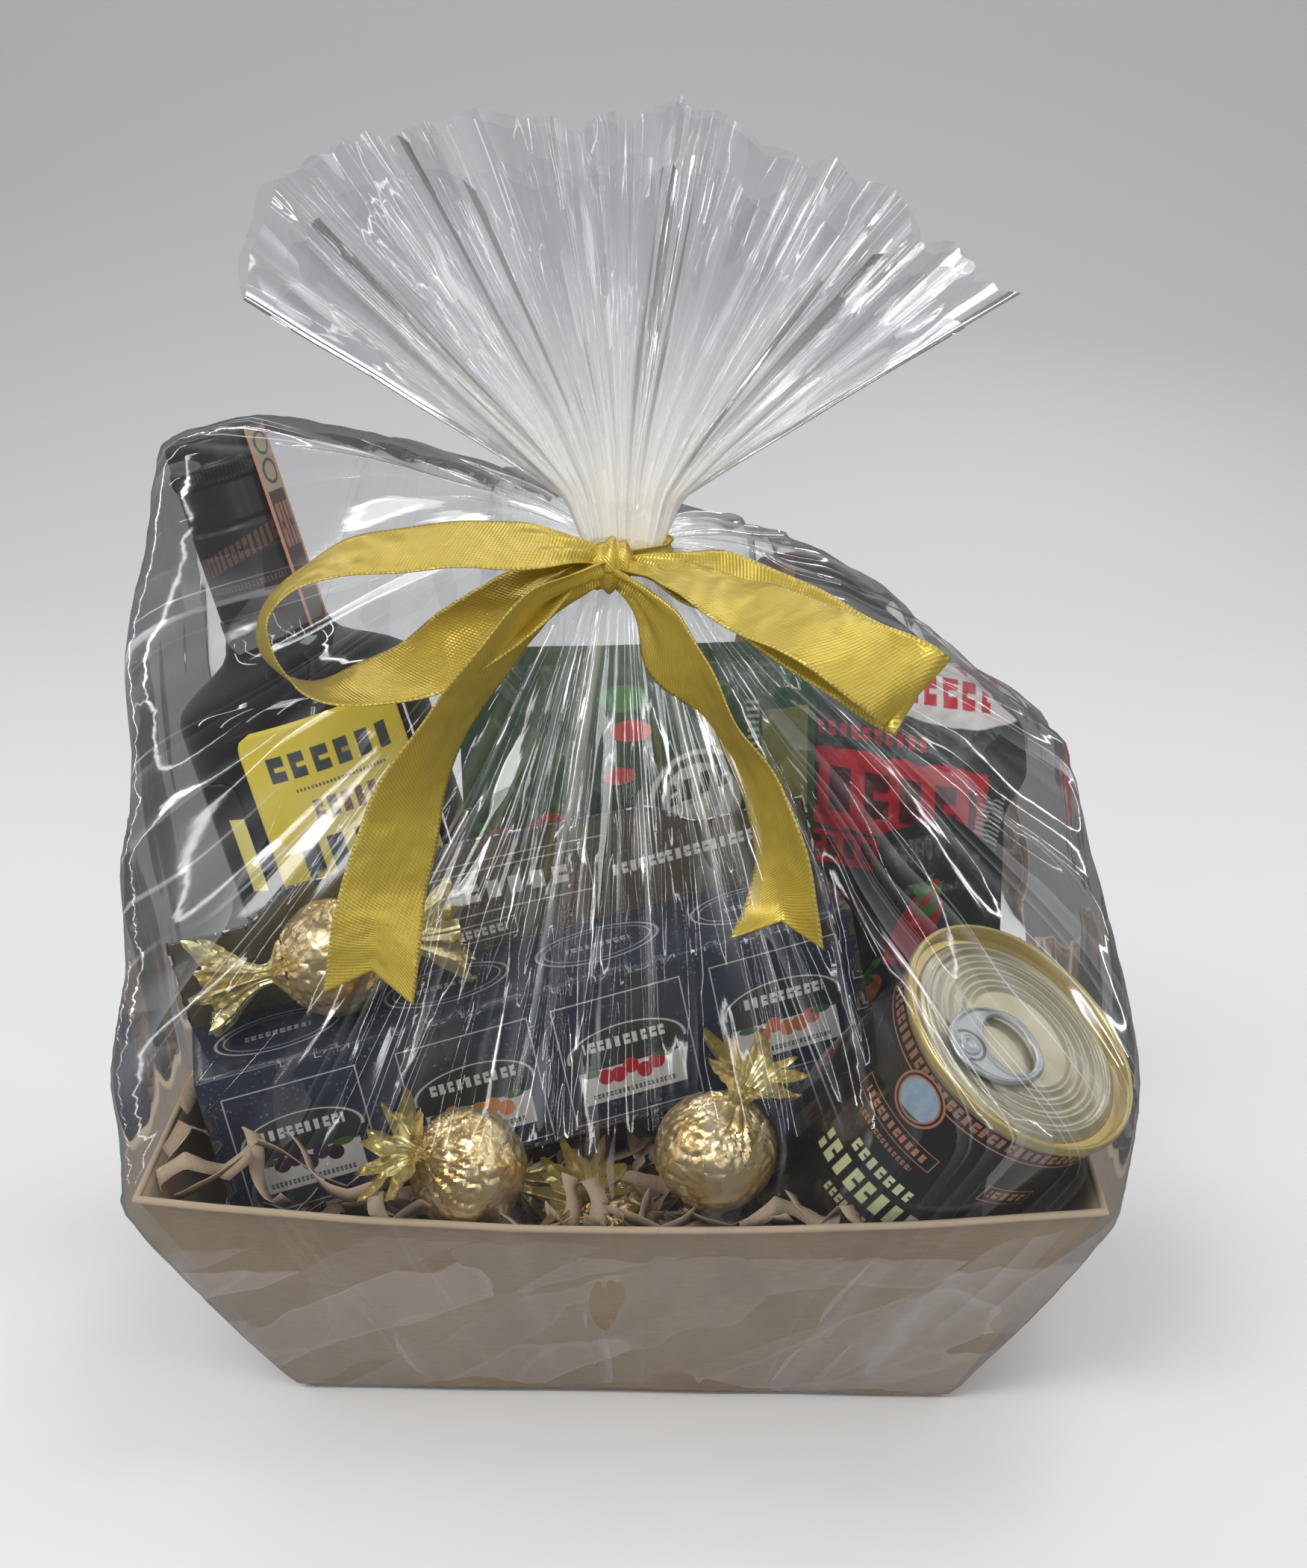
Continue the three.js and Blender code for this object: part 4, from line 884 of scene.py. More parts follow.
@dataclass(frozen=True)
class PeanutPouch(Finish):
    """Grey-black pouch with a ragged red badge, a pale badge over it and a striped strip down one side."""

    slot: str = "grey_pouch"
    red: Colour = (0.5, 0.018, 0.03)

    def paint(self, shader: Shader) -> Socket:
        """Local is mm to the right of the pouch's middle and mm up; the printing slopes down."""
        across, _, up = shader.local()
        flat = shader.carried()
        slope = up + across * 0.2
        shade = shader.noise(flat, 34, 2)
        page = Print(shader, across, slope, shader.mix(shade, (0.02, 0.025, 0.026), (0.055, 0.06, 0.06)))
        ragged = shader.noise(flat, 11, 3) * 7 - 3.5
        badge = (across + ragged * 0.6).within(-40, 41, 0.3) * (slope + ragged).within(-1, 26, 0.3)
        page.lay(badge, self.red)
        page.lay(page.marks(-35, 38, 5, 20, 11.4) * badge, (0.09, 0.02, 0.025))
        tab = (across + ragged * 0.4).within(-22, 24, 0.3) * (slope - ragged * 0.5).within(-13, -2, 0.3)
        page.lay(tab, self.red)
        page.lay(page.marks(-17, 20, -10.5, -4, 5.6), (0.1, 0.02, 0.025))
        page.lay(page.marks(-14, 22, 30, 34.5, 3.7), (0.42, 0.03, 0.04))
        page.lay(page.oval(28, 50, 26, 11), (0.6, 0.58, 0.56))
        page.lay(page.marks(16, 42, 45, 54, 6.4) * page.oval(28, 50, 22, 8), (0.5, 0.03, 0.05))
        stripe = (across - 0.14 * up).within(38, 47, 0.2) * up.within(-70, 8, 0.3)
        page.lay(stripe * ((up + across * 0.6) / 1.7).fract().within(0.2, 0.62, 0.1), (0.4, 0.4, 0.38))
        nuts = shader.cells(flat, 8, "F1").fall(0.3, 0.55)
        page.lay(page.box(-46, -22, 48, 92), shader.mix(nuts, (0.08, 0.05, 0.03), (0.24, 0.14, 0.075)))
        page.lay(page.box(-40, 4, -66, -22), shader.mix(nuts, (0.06, 0.035, 0.02), (0.2, 0.11, 0.05)))
        return page.film(0.3, 0.3, 0.14, 13, 1.6)


@dataclass(frozen=True)
class GoldFoil(Finish):
    """Crinkled foil: bright gold with copper patches, paler and greener on the twisted ends."""

    slot: str = "gold_foil"
    gold: Colour = (0.88, 0.7, 0.38)
    copper: Colour = (0.74, 0.5, 0.2)
    green: Colour = (0.66, 0.6, 0.32)

    def paint(self, shader: Shader) -> Socket:
        """The carried third number is 0 on the ball and 1 on the twists."""
        twist = shader.local()[2]
        here = shader.here()
        fold = shader.cells(here, 4.8, "DISTANCE_TO_EDGE")
        fine = shader.noise(here, 2.6, 4, 0.6)
        tone = shader.noise(here, 9, 2)
        colour = shader.mix(tone.rise(0.36, 0.52), self.copper, self.gold)
        colour = shader.mix(twist * 0.85, colour, self.green)
        height = fold.rise(0.0, 0.35) * 0.6 + fine * 0.4
        return shader.coat(colour, fine * 0.2 + 0.2, Metallic=0.9,
                           Normal=shader.bump(height, 0.42, 0.85))


@dataclass(frozen=True)
class SatinRibbon(Finish):
    """Gold-yellow satin: fine ribs across, a stitched picot along each edge, and a silky sheen, from its
    gloss and from painted shade and painted highlight in its colour.
    """

    slot: str = "gold_ribbon"
    # face is the gold's mid tone; light is a painted highlight tone and deep a painted shade tone of the same
    # gold.
    face: Colour = (0.68, 0.5, 0.06)
    light: Colour = (0.92, 0.78, 0.27)
    deep: Colour = (0.42, 0.295, 0.022)

    def paint(self, shader: Shader) -> Socket:
        """Local coordinates are mm across from the middle and mm along."""
        across, along, _ = shader.local()
        rib = ((along + across * 0.5) * 6.3).sine() * 0.5 + 0.5
        thread = ((across - along * 0.2) * 5.0).sine() * 0.5 + 0.5
        cloud = shader.noise(shader.vector(across * 0.4, along), 16, 3)
        streak = shader.noise(shader.vector(across * 2.0, along * 0.12), 1.6, 3)
        soft = shader.noise(shader.vector(across * 0.7, along), 8, 1)
        # Painted shade and painted sheen: slow patches and streaks along the ribbon mix the shade tone into
        # the mid tone.
        colour = shader.mix(cloud * 0.6 + streak * 0.4, self.deep, self.face)
        # The ribs are the weave, laid in the painted highlight tone: partly weave, partly painted sheen.
        colour = shader.mix(rib * 0.24, colour, self.light)
        edge = abs(across).rise(11.3, 11.7)
        stitch = edge * ((along * 4.6).sine() * 0.5 + 0.5).rise(0.3, 0.6)
        colour = shader.mix(edge * 0.35, colour, self.deep)
        colour = shader.mix(stitch * 0.8, colour, (0.72, 0.58, 0.16))
        height = rib * 0.06 + thread * 0.04 + stitch * 0.2 + soft * 1.4
        return shader.coat(colour, 0.27 + 0.12 * streak, Metallic=0.5,
                           Specular_IOR_Level=0.7, Normal=shader.bump(height, 1.0, 0.9))


@dataclass(frozen=True)
class ClearFilm(Finish):
    """Thin clear film: see-through, with glossy streaks along its folds, partly real gloss and partly painted
    highlights, and milky where it is gathered.
    """

    slot: str = "clear_film"
    clear: Colour = (0.93, 0.935, 0.94)
    white: Colour = (0.92, 0.94, 0.97)
    cream: Colour = (0.97, 0.95, 0.87)

    def paint(self, shader: Shader) -> Socket:
        """Folds are contour lines of noise that is stretched along the run from the tie.

        Carried flow is the cosine and sine of the turn round the neck and the run in mm; carried veil is how
        milky the film is and where its creases get a painted highlight. The noise's fraction jumps at each
        contour: a sharp edge with a veil, a painted reflection, fading to one side. Thin creases are two more
        contours, left out where the noise is too level; they get painted highlights. Slanting facets show
        where the film lies on the tray, each with its own strength of painted reflection. Gloss is a white
        mirror mixed in by Fresnel; milk is a white coat over it, and so are the painted reflections and
        highlights of facets, veils, creases and glints.
        """
        flow, here = shader.carried("flow"), shader.here()
        milk, _, crest = shader.split(shader.carried("veil"))
        x, y, z = shader.split(here)
        saw = (shader.noise(shader.stretch(flow, 5, 5, 0.003), 1.0, 1, 0.5) * 9).fract()
        live = shader.noise(shader.stretch(flow, 7, 7, 0.008), 1.0, 1)
        cosine, sine, run = shader.split(flow)
        beside = shader.vector(cosine - sine * 0.02, sine + cosine * 0.02, run)
        thin, next_thin = (shader.noise(shader.stretch(at, 8, 8, 0.003), 1.0, 0) for at in (flow, beside))
        fine = shader.noise(shader.stretch(flow, 42, 42, 0.007), 1.0, 2, 0.6)
        shard = shader.cell_tone(shader.stretch(flow, 15, 15, 0.045), 1.0).rise(0.86, 0.87)
        above = z.rise(96, 136)
        fanned = run.fall(-12, -4)
        # Thin crease lines: painted highlights, laid as white coat and extra gloss, mostly high on the film.
        line = abs(abs(thin - 0.47) - 0.035).fall(0.002, 0.008) * abs(next_thin - thin).rise(0.008, 0.02)
        line = line * (live.rise(0.44, 0.6) * 0.35 + live.rise(0.55, 0.65) * 0.65) * (above * 0.95 + 0.05)
        # Veil: a painted reflection, a pale band that fades from each fold's sharp edge.
        veil = (1 - saw) ** 3 * live.rise(0.42, 0.6) * (above * 0.8 + 0.2)
        # Where the film lies on the tray: a faint haze, each slanting facet a painted reflection of its own
        # strength, and thin painted highlights on the facet edges.
        wander = shader.noise(here, 40, 2) * 14
        facets = shader.vector(x * 0.14 + z * 0.09, z * 0.85 - x * 0.5 + wander, y * 0.35 + wander)
        slant = shader.cell_tone(facets, 17)
        pressed = shader.cells(facets, 17, "DISTANCE_TO_EDGE").fall(0.01, 0.05) * slant.rise(0.35, 0.7)
        touching = (z + wander * 1.6 + slant * 13).fall(80, 81)
        normal = shader.bump(saw * (fanned * 0.35 + 0.35) + fine * (milk * 0.6 + 0.02), 0.9, 1.0)
        fresnel = Number(shader, shader.node("Fresnel", None, {"IOR": 1.5, "Normal": normal}).outputs[0])
        shine = shader.coat((1, 1, 1), 0.07, Metallic=1, Normal=normal)
        clear = shader.node("BsdfTransparent", None, {"Color": self.clear}).outputs[0]
        gloss = (fresnel * 1.3 + crest * 0.15 + line * 0.2 + shard * 0.1).lowest(0.9)
        coat = shader.coat(shader.mix(milk, self.white, self.cream), 0.3)
        # The white coat's share: milk is the film's own haze; creases, veils, facets and glints add painted
        # highlight and painted reflection.
        cloud = milk * (fine * 0.7 + 0.25) + touching * (slant * 0.1 + pressed * 0.04 + 0.03) + crest * 0.2
        # Painted glints: short bright patches on the shards, strongest in the fan.
        painted_glint = shard * live.rise(0.45, 0.6) * saw * (fanned * 0.32 + 0.12)
        cloud = (cloud + veil * 0.13 + line * (fanned * 0.1 + 0.5) + painted_glint).lowest(0.92)
        return shader.blend(cloud, shader.blend(gloss, clear, shine), coat)


# Putting pieces into the scene


def add(name: str, data: bpy.types.ID) -> bpy.types.Object:
    """Puts a mesh, lamp or camera into the scene."""
    made = bpy.data.objects.new(name, data)
    bpy.context.scene.collection.objects.link(made)
    return made


def make(name: str, surface: Surface, material: bpy.types.Material) -> bpy.types.Object:
    """Puts a surface, in mm in the basket's frame, into the scene as a smooth object."""
    mesh = bpy.data.meshes.new(name)
    mesh.from_pydata((surface.points * MM).tolist(), [], surface.quads.tolist() + surface.tris.tolist())
    for key, values in surface.data.items():
        layer = mesh.attributes.new(key, "FLOAT_VECTOR", "POINT")
        layer.data.foreach_set("vector", np.ascontiguousarray(values, dtype=np.float32).ravel())
    mesh.polygons.foreach_set("use_smooth", np.ones(len(mesh.polygons), bool))
    mesh.materials.append(material)
    return add(name, mesh)


def show(name: str, surface: Surface, finish: Finish, *nodes: str, crease: float = 40,
         thick: float = 0.0) -> bpy.types.Object:
    """Makes a piece from a surface, gives it its finish and its body, and hides the CAD nodes that it stands
    for.

    Args:
        name: the piece's name.
        surface: its mesh.
        finish: what it is made of.
        nodes: the CAD nodes that it replaces.
        crease: edges that bend by more than this many degrees stay sharp.
        thick: gives an open sheet this thickness, in mm.

    Returns:
        The piece's object.
    """
    piece = make(name, surface, finish.material())
    piece.data.set_sharp_from_angle(angle=math.radians(crease))
    if thick:
        shell = piece.modifiers.new("Solidify", "SOLIDIFY")
        shell.thickness = thick * MM
        shell.offset = 0
    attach(piece, "root")
    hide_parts(*nodes)
    LOG.info("%s: %d points, %d faces", name, len(piece.data.vertices), len(piece.data.polygons))
    return piece


# The pieces


@dataclass
class Tray:
    """The flared board tray with its rolled lip. Sizes in mm, as in the solid."""

    floor: float = 120 * (1 - 1 / 1.016)
    height: float = 82.0
    base: tuple[float, float] = (98.0, 64.0)
    rim: tuple[float, float] = (135.0, 96.5)
    dip: float = 10.0
    bow: float = 7.5
    wall: float = 1.5
    lip: float = 1.0
    shoulder: float = 0.955
    columns: int = 70

    def around(self) -> Array:
        """Places round a square from -1 to 1: x, y, and 1 on the two long sides."""
        t = np.linspace(-1, 1, self.columns, endpoint=False)
        one = np.ones_like(t)
        return np.array([[t, one, -t, -one], [-one, t, one, -t], [one, 0 * t, one, 0 * t]]).reshape(3, -1)

    def ring(self, share: float, out: float, lift: float) -> Array:
        """One ring of the wall.

        The half sizes run in a straight line from the base's to the rim's. Towards the rim the long sides dip
        in the middle by a parabola and lean in as they do; half way up the short sides bow out by another.

        Args:
            share: how far up the wall the ring is, 0 to 1.
            out: how far outside the middle of the wall, in mm.
            lift: mm above that height.

        Returns:
            The ring's points.
        """
        x, y, long_side = self.around()
        half_x = self.base[0] + (self.rim[0] - self.base[0]) * share + out
        half_y = self.base[1] + (self.rim[1] - self.base[1]) * share + out
        sag = long_side * self.dip * (1 - x**2) * smooth(share, 0.45, 1.0)
        bulge = (1 - long_side) * self.bow * (1 - y**2) * (1 - (2 * share - 1) ** 2)
        lean = sag * (self.rim[1] - self.base[1]) / self.height
        z = self.floor + self.height * share + lift - sag
        return stacked(x * half_x + np.sign(x) * bulge, y * half_y - np.sign(y) * lean, z)

    def build(self) -> None:
        """Outer wall, rolled lip, inner wall and floor, carried round the tray in one closed surface."""
        outer = [self.ring(s, 0.0, 0.0) for s in np.linspace(0, self.shoulder, 22)]
        angles = np.linspace(-0.45 * math.pi, 1.2 * math.pi, 11)
        lip = [self.ring(0.982, 0.15 + self.lip * math.cos(a), self.lip * math.sin(a)) for a in angles]
        inner = [self.ring(s, -self.wall, 0.3) for s in np.linspace(self.shoulder, 0.03, 20)]
        floor = [self.ring(0, -self.wall, self.wall) * [k, k, 1] for k in (1.0, 0.6)]
        under = [self.ring(0, 0, 0) * [k, k, 1] for k in (0.6, 0.98)]
        rows = np.array(under + outer + lip + inner + floor)
        edge = np.zeros((len(rows), 1))
        first = len(under) + len(outer)
        edge[first : first + len(lip)] = 1
        rows[..., 1] += 0.18 * Ripple(3, 60)(rows)
        surface = Surface.grid(rows, True, True, local=stacked(rows[..., 0], rows[..., 2], edge))
        show("kraft_tray", surface, KraftBoard(), "tray", crease=38)


@dataclass
class Shred:
    """Shredded kraft paper: loose crinkled strips heaped over a rumpled bed."""

    top: float = 60.0
    strips: int = 420
    width: float = 5.0
    steps: int = 26
    base: tuple[float, float] = (98, 64)
    flare: tuple[float, float] = (37, 32)
    rim_height: float = 84
    floor_height: float = 2

    def inside(self, z: Array | float, gap: float) -> tuple[Array, Array]:
        """The tray's half sizes at a height, less a gap to its wall."""
        return tuple(half + more * z / self.rim_height - gap for half, more in zip(self.base, self.flare))

    def bed(self) -> Surface:
        """A bumpy sheet under the strips: a low dome with soft noise on it, in a dark tone that is painted
        shade between and under the strips.
        """
        u, v = np.meshgrid(np.linspace(-1, 1, 60), np.linspace(-1, 1, 44))
        z = self.top - 9 + 3 * smooth(v, -0.1, 0.7) - 3 * (u**2 + v**2)
        half_x, half_y = self.inside(z, 2.6)
        points = stacked(u * half_x, v * half_y, z)
        points[..., 2] += 1.6 * Ripple(8, 14)(points)
        # A dark tone: painted shade where the bed shows between the strips.
        tone = 0.15 + 0.1 * Ripple(9, 9)(points)
        return Surface.grid(points, local=stacked(0, points[..., 0], tone))

    def strip(self, rng: np.random.Generator, start: Array, heading: float, length: float, rise: float,
              tones: tuple[float, float] = (0.1, 0.7)) -> Surface:
        """One strip: a path that wanders sideways and hops up and down, with its width turned as it goes.

        Args:
            rng: the source of its wanderings.
            start: its middle, in mm.
            heading: the way it runs, in radians.
            length: its length in mm.
            rise: how high its hops are, in mm.
            tones: the darkest and the palest tone that it may have.

        Returns:
            The strip as an open surface.
        """
        t = np.linspace(-0.5, 0.5, self.steps)
        bend = heading + rng.uniform(-1.2, 1.2) * t
        bend = bend + 0.5 * pleated(t * rng.uniform(1, 2.6) + rng.uniform(0, 6))
        step = length / self.steps
        path = np.cumsum(np.stack([cos(bend), sin(bend)], -1) * step, axis=0)
        path -= path.mean(0)
        hop = rise * (0.2 + 0.5 * pleated(t * rng.uniform(0.6, 1.4) + rng.uniform(0, 1)))
        pleat = 0.5 * np.abs(((t * length / rng.uniform(7, 12)) % 1) - 0.5)
        middle = np.column_stack([path, hop + pleat]) + start
        middle[:, 2] = np.minimum(middle[:, 2], start[2] + rise)
        twist = rng.uniform(-1.2, 1.2) + rng.uniform(-1.2, 1.2) * t
        side = stacked(-sin(bend) * cos(twist), cos(bend) * cos(twist), sin(twist))
        x = np.array([-0.5, 0, 0.5]) * self.width
        points = middle[:, None] + side[:, None] * x[:, None]
        return Surface.grid(points, local=stacked(x, t[:, None] * length, rng.uniform(*tones)))

    def shown(self) -> Route:
        """The strips that show at the rim: middle x, y, z, heading in degrees, length and rise."""
        return (
            (-98, -76, 73, 12, 60, 12), (-84, -82, 76, -35, 34, 8), (-118, -60, 78, 60, 46, 12),
            (-124, -40, 80, 80, 40, 12), (-108, -66, 70, -60, 40, 14), (-66, -84, 66, 80, 24, 8),
            (-52, -86, 66, 20, 28, 6), (-16, -87, 66, 75, 26, 9), (-8, -87, 68, 95, 28, 8),
            (3, -87, 66, 60, 22, 8), (12, -88, 66, 10, 30, 5), (34, -87, 66, -10, 32, 6),
            (48, -88, 67, 20, 30, 6), (60, -86, 66, -30, 26, 7), (-30, -87, 65, -15, 34, 6),
            (112, -70, 76, 20, 40, 8), (122, -60, 80, 70, 34, 8), (-120, -80, 76, 30, 30, 6),
        )

    def build(self) -> None:
        """The bed, strips strewn evenly over it, and the strips that show at the rim."""
        rng = np.random.default_rng(21)
        parts = [self.bed()]
        for _ in range(self.strips):
            u, v = rng.uniform(-0.97, 0.97, 2)
            z = self.top - 6 + 4 * max(0.0, v) + rng.uniform(-3, 7)
            half_x, half_y = self.inside(z, 8)
            start = np.array([u * half_x, v * half_y, z])
            parts.append(self.strip(rng, start, rng.uniform(0, TAU), rng.uniform(22, 52), rng.uniform(2, 8)))
        for x, y, z, heading, length, rise in self.shown():
            start = np.array([x, y + 2, z + 5], float)
            parts.append(self.strip(rng, start, math.radians(heading), length * 1.1, rise + 3, (0.6, 1.0)))
        whole = Surface.joined(parts)
        over_floor = (whole.points[:, 2] - self.floor_height) / (self.rim_height - self.floor_height)
        limits = np.stack(self.inside(over_floor * self.rim_height, 2.4), -1)
        whole.points[:, :2] = np.clip(whole.points[:, :2], -limits, limits)
        show("shredded_paper", whole, KraftShred(), "paper_shred", crease=60, thick=0.25)


@dataclass
class Bottle:
    """The leaning bottle with its cap, labels and seal. Sizes in mm, as in the solids."""

    foot: Spot = (-56, 28, 18.4)
    top: Spot = (-132, 47, 271)
    radius: float = 39.0
    neck: float = 16.2

    def __post_init__(self) -> None:
        """Works out the bottle's frame and length."""
        axis = np.subtract(self.top, self.foot)
        self.length = float(np.linalg.norm(axis))
        self.place = Place.along(self.foot, tuple(axis))

    def wrapped(self, radius: float, start: float, end: float, low: float, high: float,
                corner: float) -> Surface:
        """A sheet round the bottle with round corners, worked out on a grid of angle and height.

        Args:
            radius: its radius in mm.
            start: the angle of its left edge, in degrees from the front.
            end: the angle of its right edge.
            low: how far its foot is under the bottle's top.
            high: how far its head is under it.
            corner: its corners' radius.

        Returns:
            The open sheet, with local mm across from its left edge and mm up from its foot.
        """
        wide, tall = math.radians(end - start) * radius, low - high
        v = np.linspace(0, tall, 46)
        depth = np.maximum(corner - np.minimum(v, tall - v), 0)
        inset = corner - np.sqrt(np.maximum(corner**2 - depth**2, 0))
        u = np.linspace(0, 1, 40)
        across = inset[:, None] + u * (wide - 2 * inset[:, None])
        angle = math.radians(start) + across / radius
        up = v[:, None]
        points = stacked(sin(angle) * radius, -cos(angle) * radius, up + (self.length - low))
        return Surface.grid(points, local=stacked(across, 0, up)).placed(self.place)

    def build(self) -> None:
        """Body, cap with its knurled band, two labels and the seal."""
        length, radius, neck = self.length, self.radius, self.neck
        body = lathe([
            (0, 3), (radius - 10, 0.6), (radius - 8, 0), (radius - 3.4, 0.6), (radius - 1.2, 2), (radius, 5),
        ] + below(
            length, (radius, 87), (radius - 0.4, 84), (radius - 1.8, 81.2), (radius - 5, 78.6), (29, 75.6),
            (24, 73), (20, 70.4), (17.8, 67.6), (neck + 0.8, 65), (neck, 63), (neck, 57.4), (0, 57.4),
        ), 128, 2.0)
        show("bottle_glass", body.placed(self.place), DarkGlass(), "bottle", crease=50)
        skirt = 15.7
        cap = lathe(below(
            length, (0, 57), (skirt - 0.6, 57), (skirt, 56.4), (skirt, 29.5), (skirt - 0.5, 28.9),
            (skirt - 0.5, 27.7), (skirt - 0.1, 27.2), (skirt - 0.3, 15), (skirt + 0.25, 14.4),
            (skirt + 0.25, 9.2), (skirt - 0.4, 8.4), (skirt - 0.6, 3.2), (skirt - 0.9, 1.4),
            (skirt - 1.8, 0.4), (skirt - 3, 0), (0, 0),
        ), 240, 0.8)
        flat = cap.points
        around, height = np.arctan2(flat[:, 0], -flat[:, 1]), length - flat[:, 2]
        band = smooth(-height, -14.4, -13.6) * (1 - smooth(-height, -10, -9.2))
        flat[:, :2] *= (1 + 0.018 * band * sin(around * 80))[:, None]
        show("screw_cap", cap.placed(self.place), BlackCap(), "bottle_cap", crease=50)
        skin = radius + 0.42
        for name, node, finish, out, start, end, low, high, corner in (
            ("front_label", "bottle_label", YellowLabel(), skin, -22, 58, 178, 88, 6),
            ("side_label", "bottle_side_label", YellowLabel(side=True), skin, -60, -31, 176, 102, 5),
            ("seal_strip", "bottle_seal", PaperSeal(), neck + 1.2, 49.5, 85.5, 66, 1, 0.6),
        ):
            show(name, self.wrapped(out, start, end, low, high, corner), finish, node, thick=0.2)


@dataclass
class Carton:
    """The navy carton of small jars, with its arched header card at the back. Sizes in mm."""

    left: Spot = (-124, -64.4, 101.8)
    right: Spot = (67, -20.3, 141.6)
    height: float = 50.0
    depth: float = 42.0
    card: float = 1.2
    low_end: float = 25.0
    arch: float = 33.0
    tilt: float = 3.0
    corner: tuple[float, float] = (22.0, 168.0)

    def __post_init__(self) -> None:
        """Works out the carton's frame: x along it, y back and z up, at its front lower left corner."""
        run = np.subtract(self.right, self.left)
        self.length = float(np.linalg.norm(run))
        x = run / self.length
        z = unit(np.array([0, 0, 1.0]) - x * x[2])
        y = np.cross(z, x)
        origin = np.array(self.left) - z * self.height
        self.place = Place(tuple(origin), tuple(map(tuple, (x, y, z))))

    def sheet(self, corner: Array, along: Array, up: Array, counts: tuple[int, int], face: Face) -> Surface:
        """A flat rectangle of card, slightly pillowed in its middle.

        Args:
            corner: its lower left corner.
            along: the vector to its lower right corner.
            up: the vector to its upper left corner.
            counts: columns and rows.
            face: which printing it carries.

        Returns:
            The sheet, with local mm along, mm up and the face's number.
        """
        u, v = np.meshgrid(np.linspace(0, 1, counts[0]), np.linspace(0, 1, counts[1]))
        pillow = unit(np.cross(along, up)) * (0.5 * sin(u * math.pi) * sin(v * math.pi))[..., None]
        points = corner + along * u[..., None] + up * v[..., None] + pillow
        wide, high = np.linalg.norm(along), np.linalg.norm(up)
        return Surface.grid(points, local=stacked(u * wide, v * high, face.value))

    def header_top(self, x: Array) -> Array:
        """The header's upper edge: low ends, an eased step at each corner and a shallow crown between."""
        left, right = self.corner
        step = smooth(x, left, left + 18) * (1 - smooth(x, right - 18, right))
        crown = 3 * sin(np.clip((x - left) / (right - left), 0, 1) * math.pi)
        rise = self.low_end + (self.arch - self.low_end + crown) * step
        return rise + self.tilt * (1 - x / 100)

    def header(self) -> Surface:
        """The header card: front and back on a grid of length and height, joined by a pale cut edge."""
        x = np.linspace(0, self.length, 150)
        v = np.linspace(0, 1, 14)[:, None]
        up = v * self.header_top(x)
        bend = 0.8 * sin(x / self.length * math.pi * 2.2) * v**2
        sides = []
        for y, face, step in ((self.depth - self.card, Face.HEADER, 1), (self.depth, Face.PLAIN, -1)):
            sides.append(stacked(x, y - 0.2 + bend, self.height + up)[:, ::step])
            sides.append(stacked(x, up, face.value)[:, ::step])
        front, front_local, back, back_local = sides
        parts = [Surface.grid(front, local=front_local), Surface.grid(back, local=back_local)]
        for edge, local in (
            ((front[-1], back[-1, ::-1]), (front_local[-1], back_local[-1, ::-1])),
            ((back[:, -1], front[:, 0]), (front_local[:, 0],) * 2),
            ((front[:, -1], back[:, 0]), (front_local[:, -1],) * 2),
        ):
            local = np.stack(local) * [1, 1, 0] + [0, 0, Face.EDGE.value]
            parts.append(Surface.grid(np.stack(edge), local=local))
        return Surface.joined(parts)

    def build(self) -> None:
        """Six pillowed faces and the header."""
        length, depth, height = self.length, self.depth, self.height
        x, y, z = np.eye(3)
        origin = np.zeros(3)
        faces = [
            self.sheet(origin, x * length, z * height, (60, 20), Face.FRONT),
            self.sheet(z * height, x * length, y * depth, (60, 14), Face.TOP),
            self.sheet(y * depth + x * length, -x * length, z * height, (60, 20), Face.PLAIN),
            self.sheet(y * depth, x * length, -y * depth, (60, 14), Face.PLAIN),
            self.sheet(y * depth, -y * depth, z * height, (14, 20), Face.PLAIN),
            self.sheet(x * length, y * depth, z * height, (14, 20), Face.PLAIN),
        ]
        surface = Surface.joined([*faces, self.header()]).placed(self.place)
        piece = show("jar_carton", surface, NavyCard(), "spread_carton", crease=35)
        merge_doubles(piece)
        edge = piece.modifiers.new("Bevel", "BEVEL")
        edge.width = 0.5 * MM
        edge.segments = 2
        edge.limit_method = "ANGLE"
        edge.angle_limit = math.radians(50)


def merge_doubles(piece: bpy.types.Object) -> None:
    """Welds a piece's coinciding points."""
    work = bmesh.new()
    work.from_mesh(piece.data)
    bmesh.ops.remove_doubles(work, verts=work.verts, dist=1e-5)
    work.to_mesh(piece.data)
    work.free()


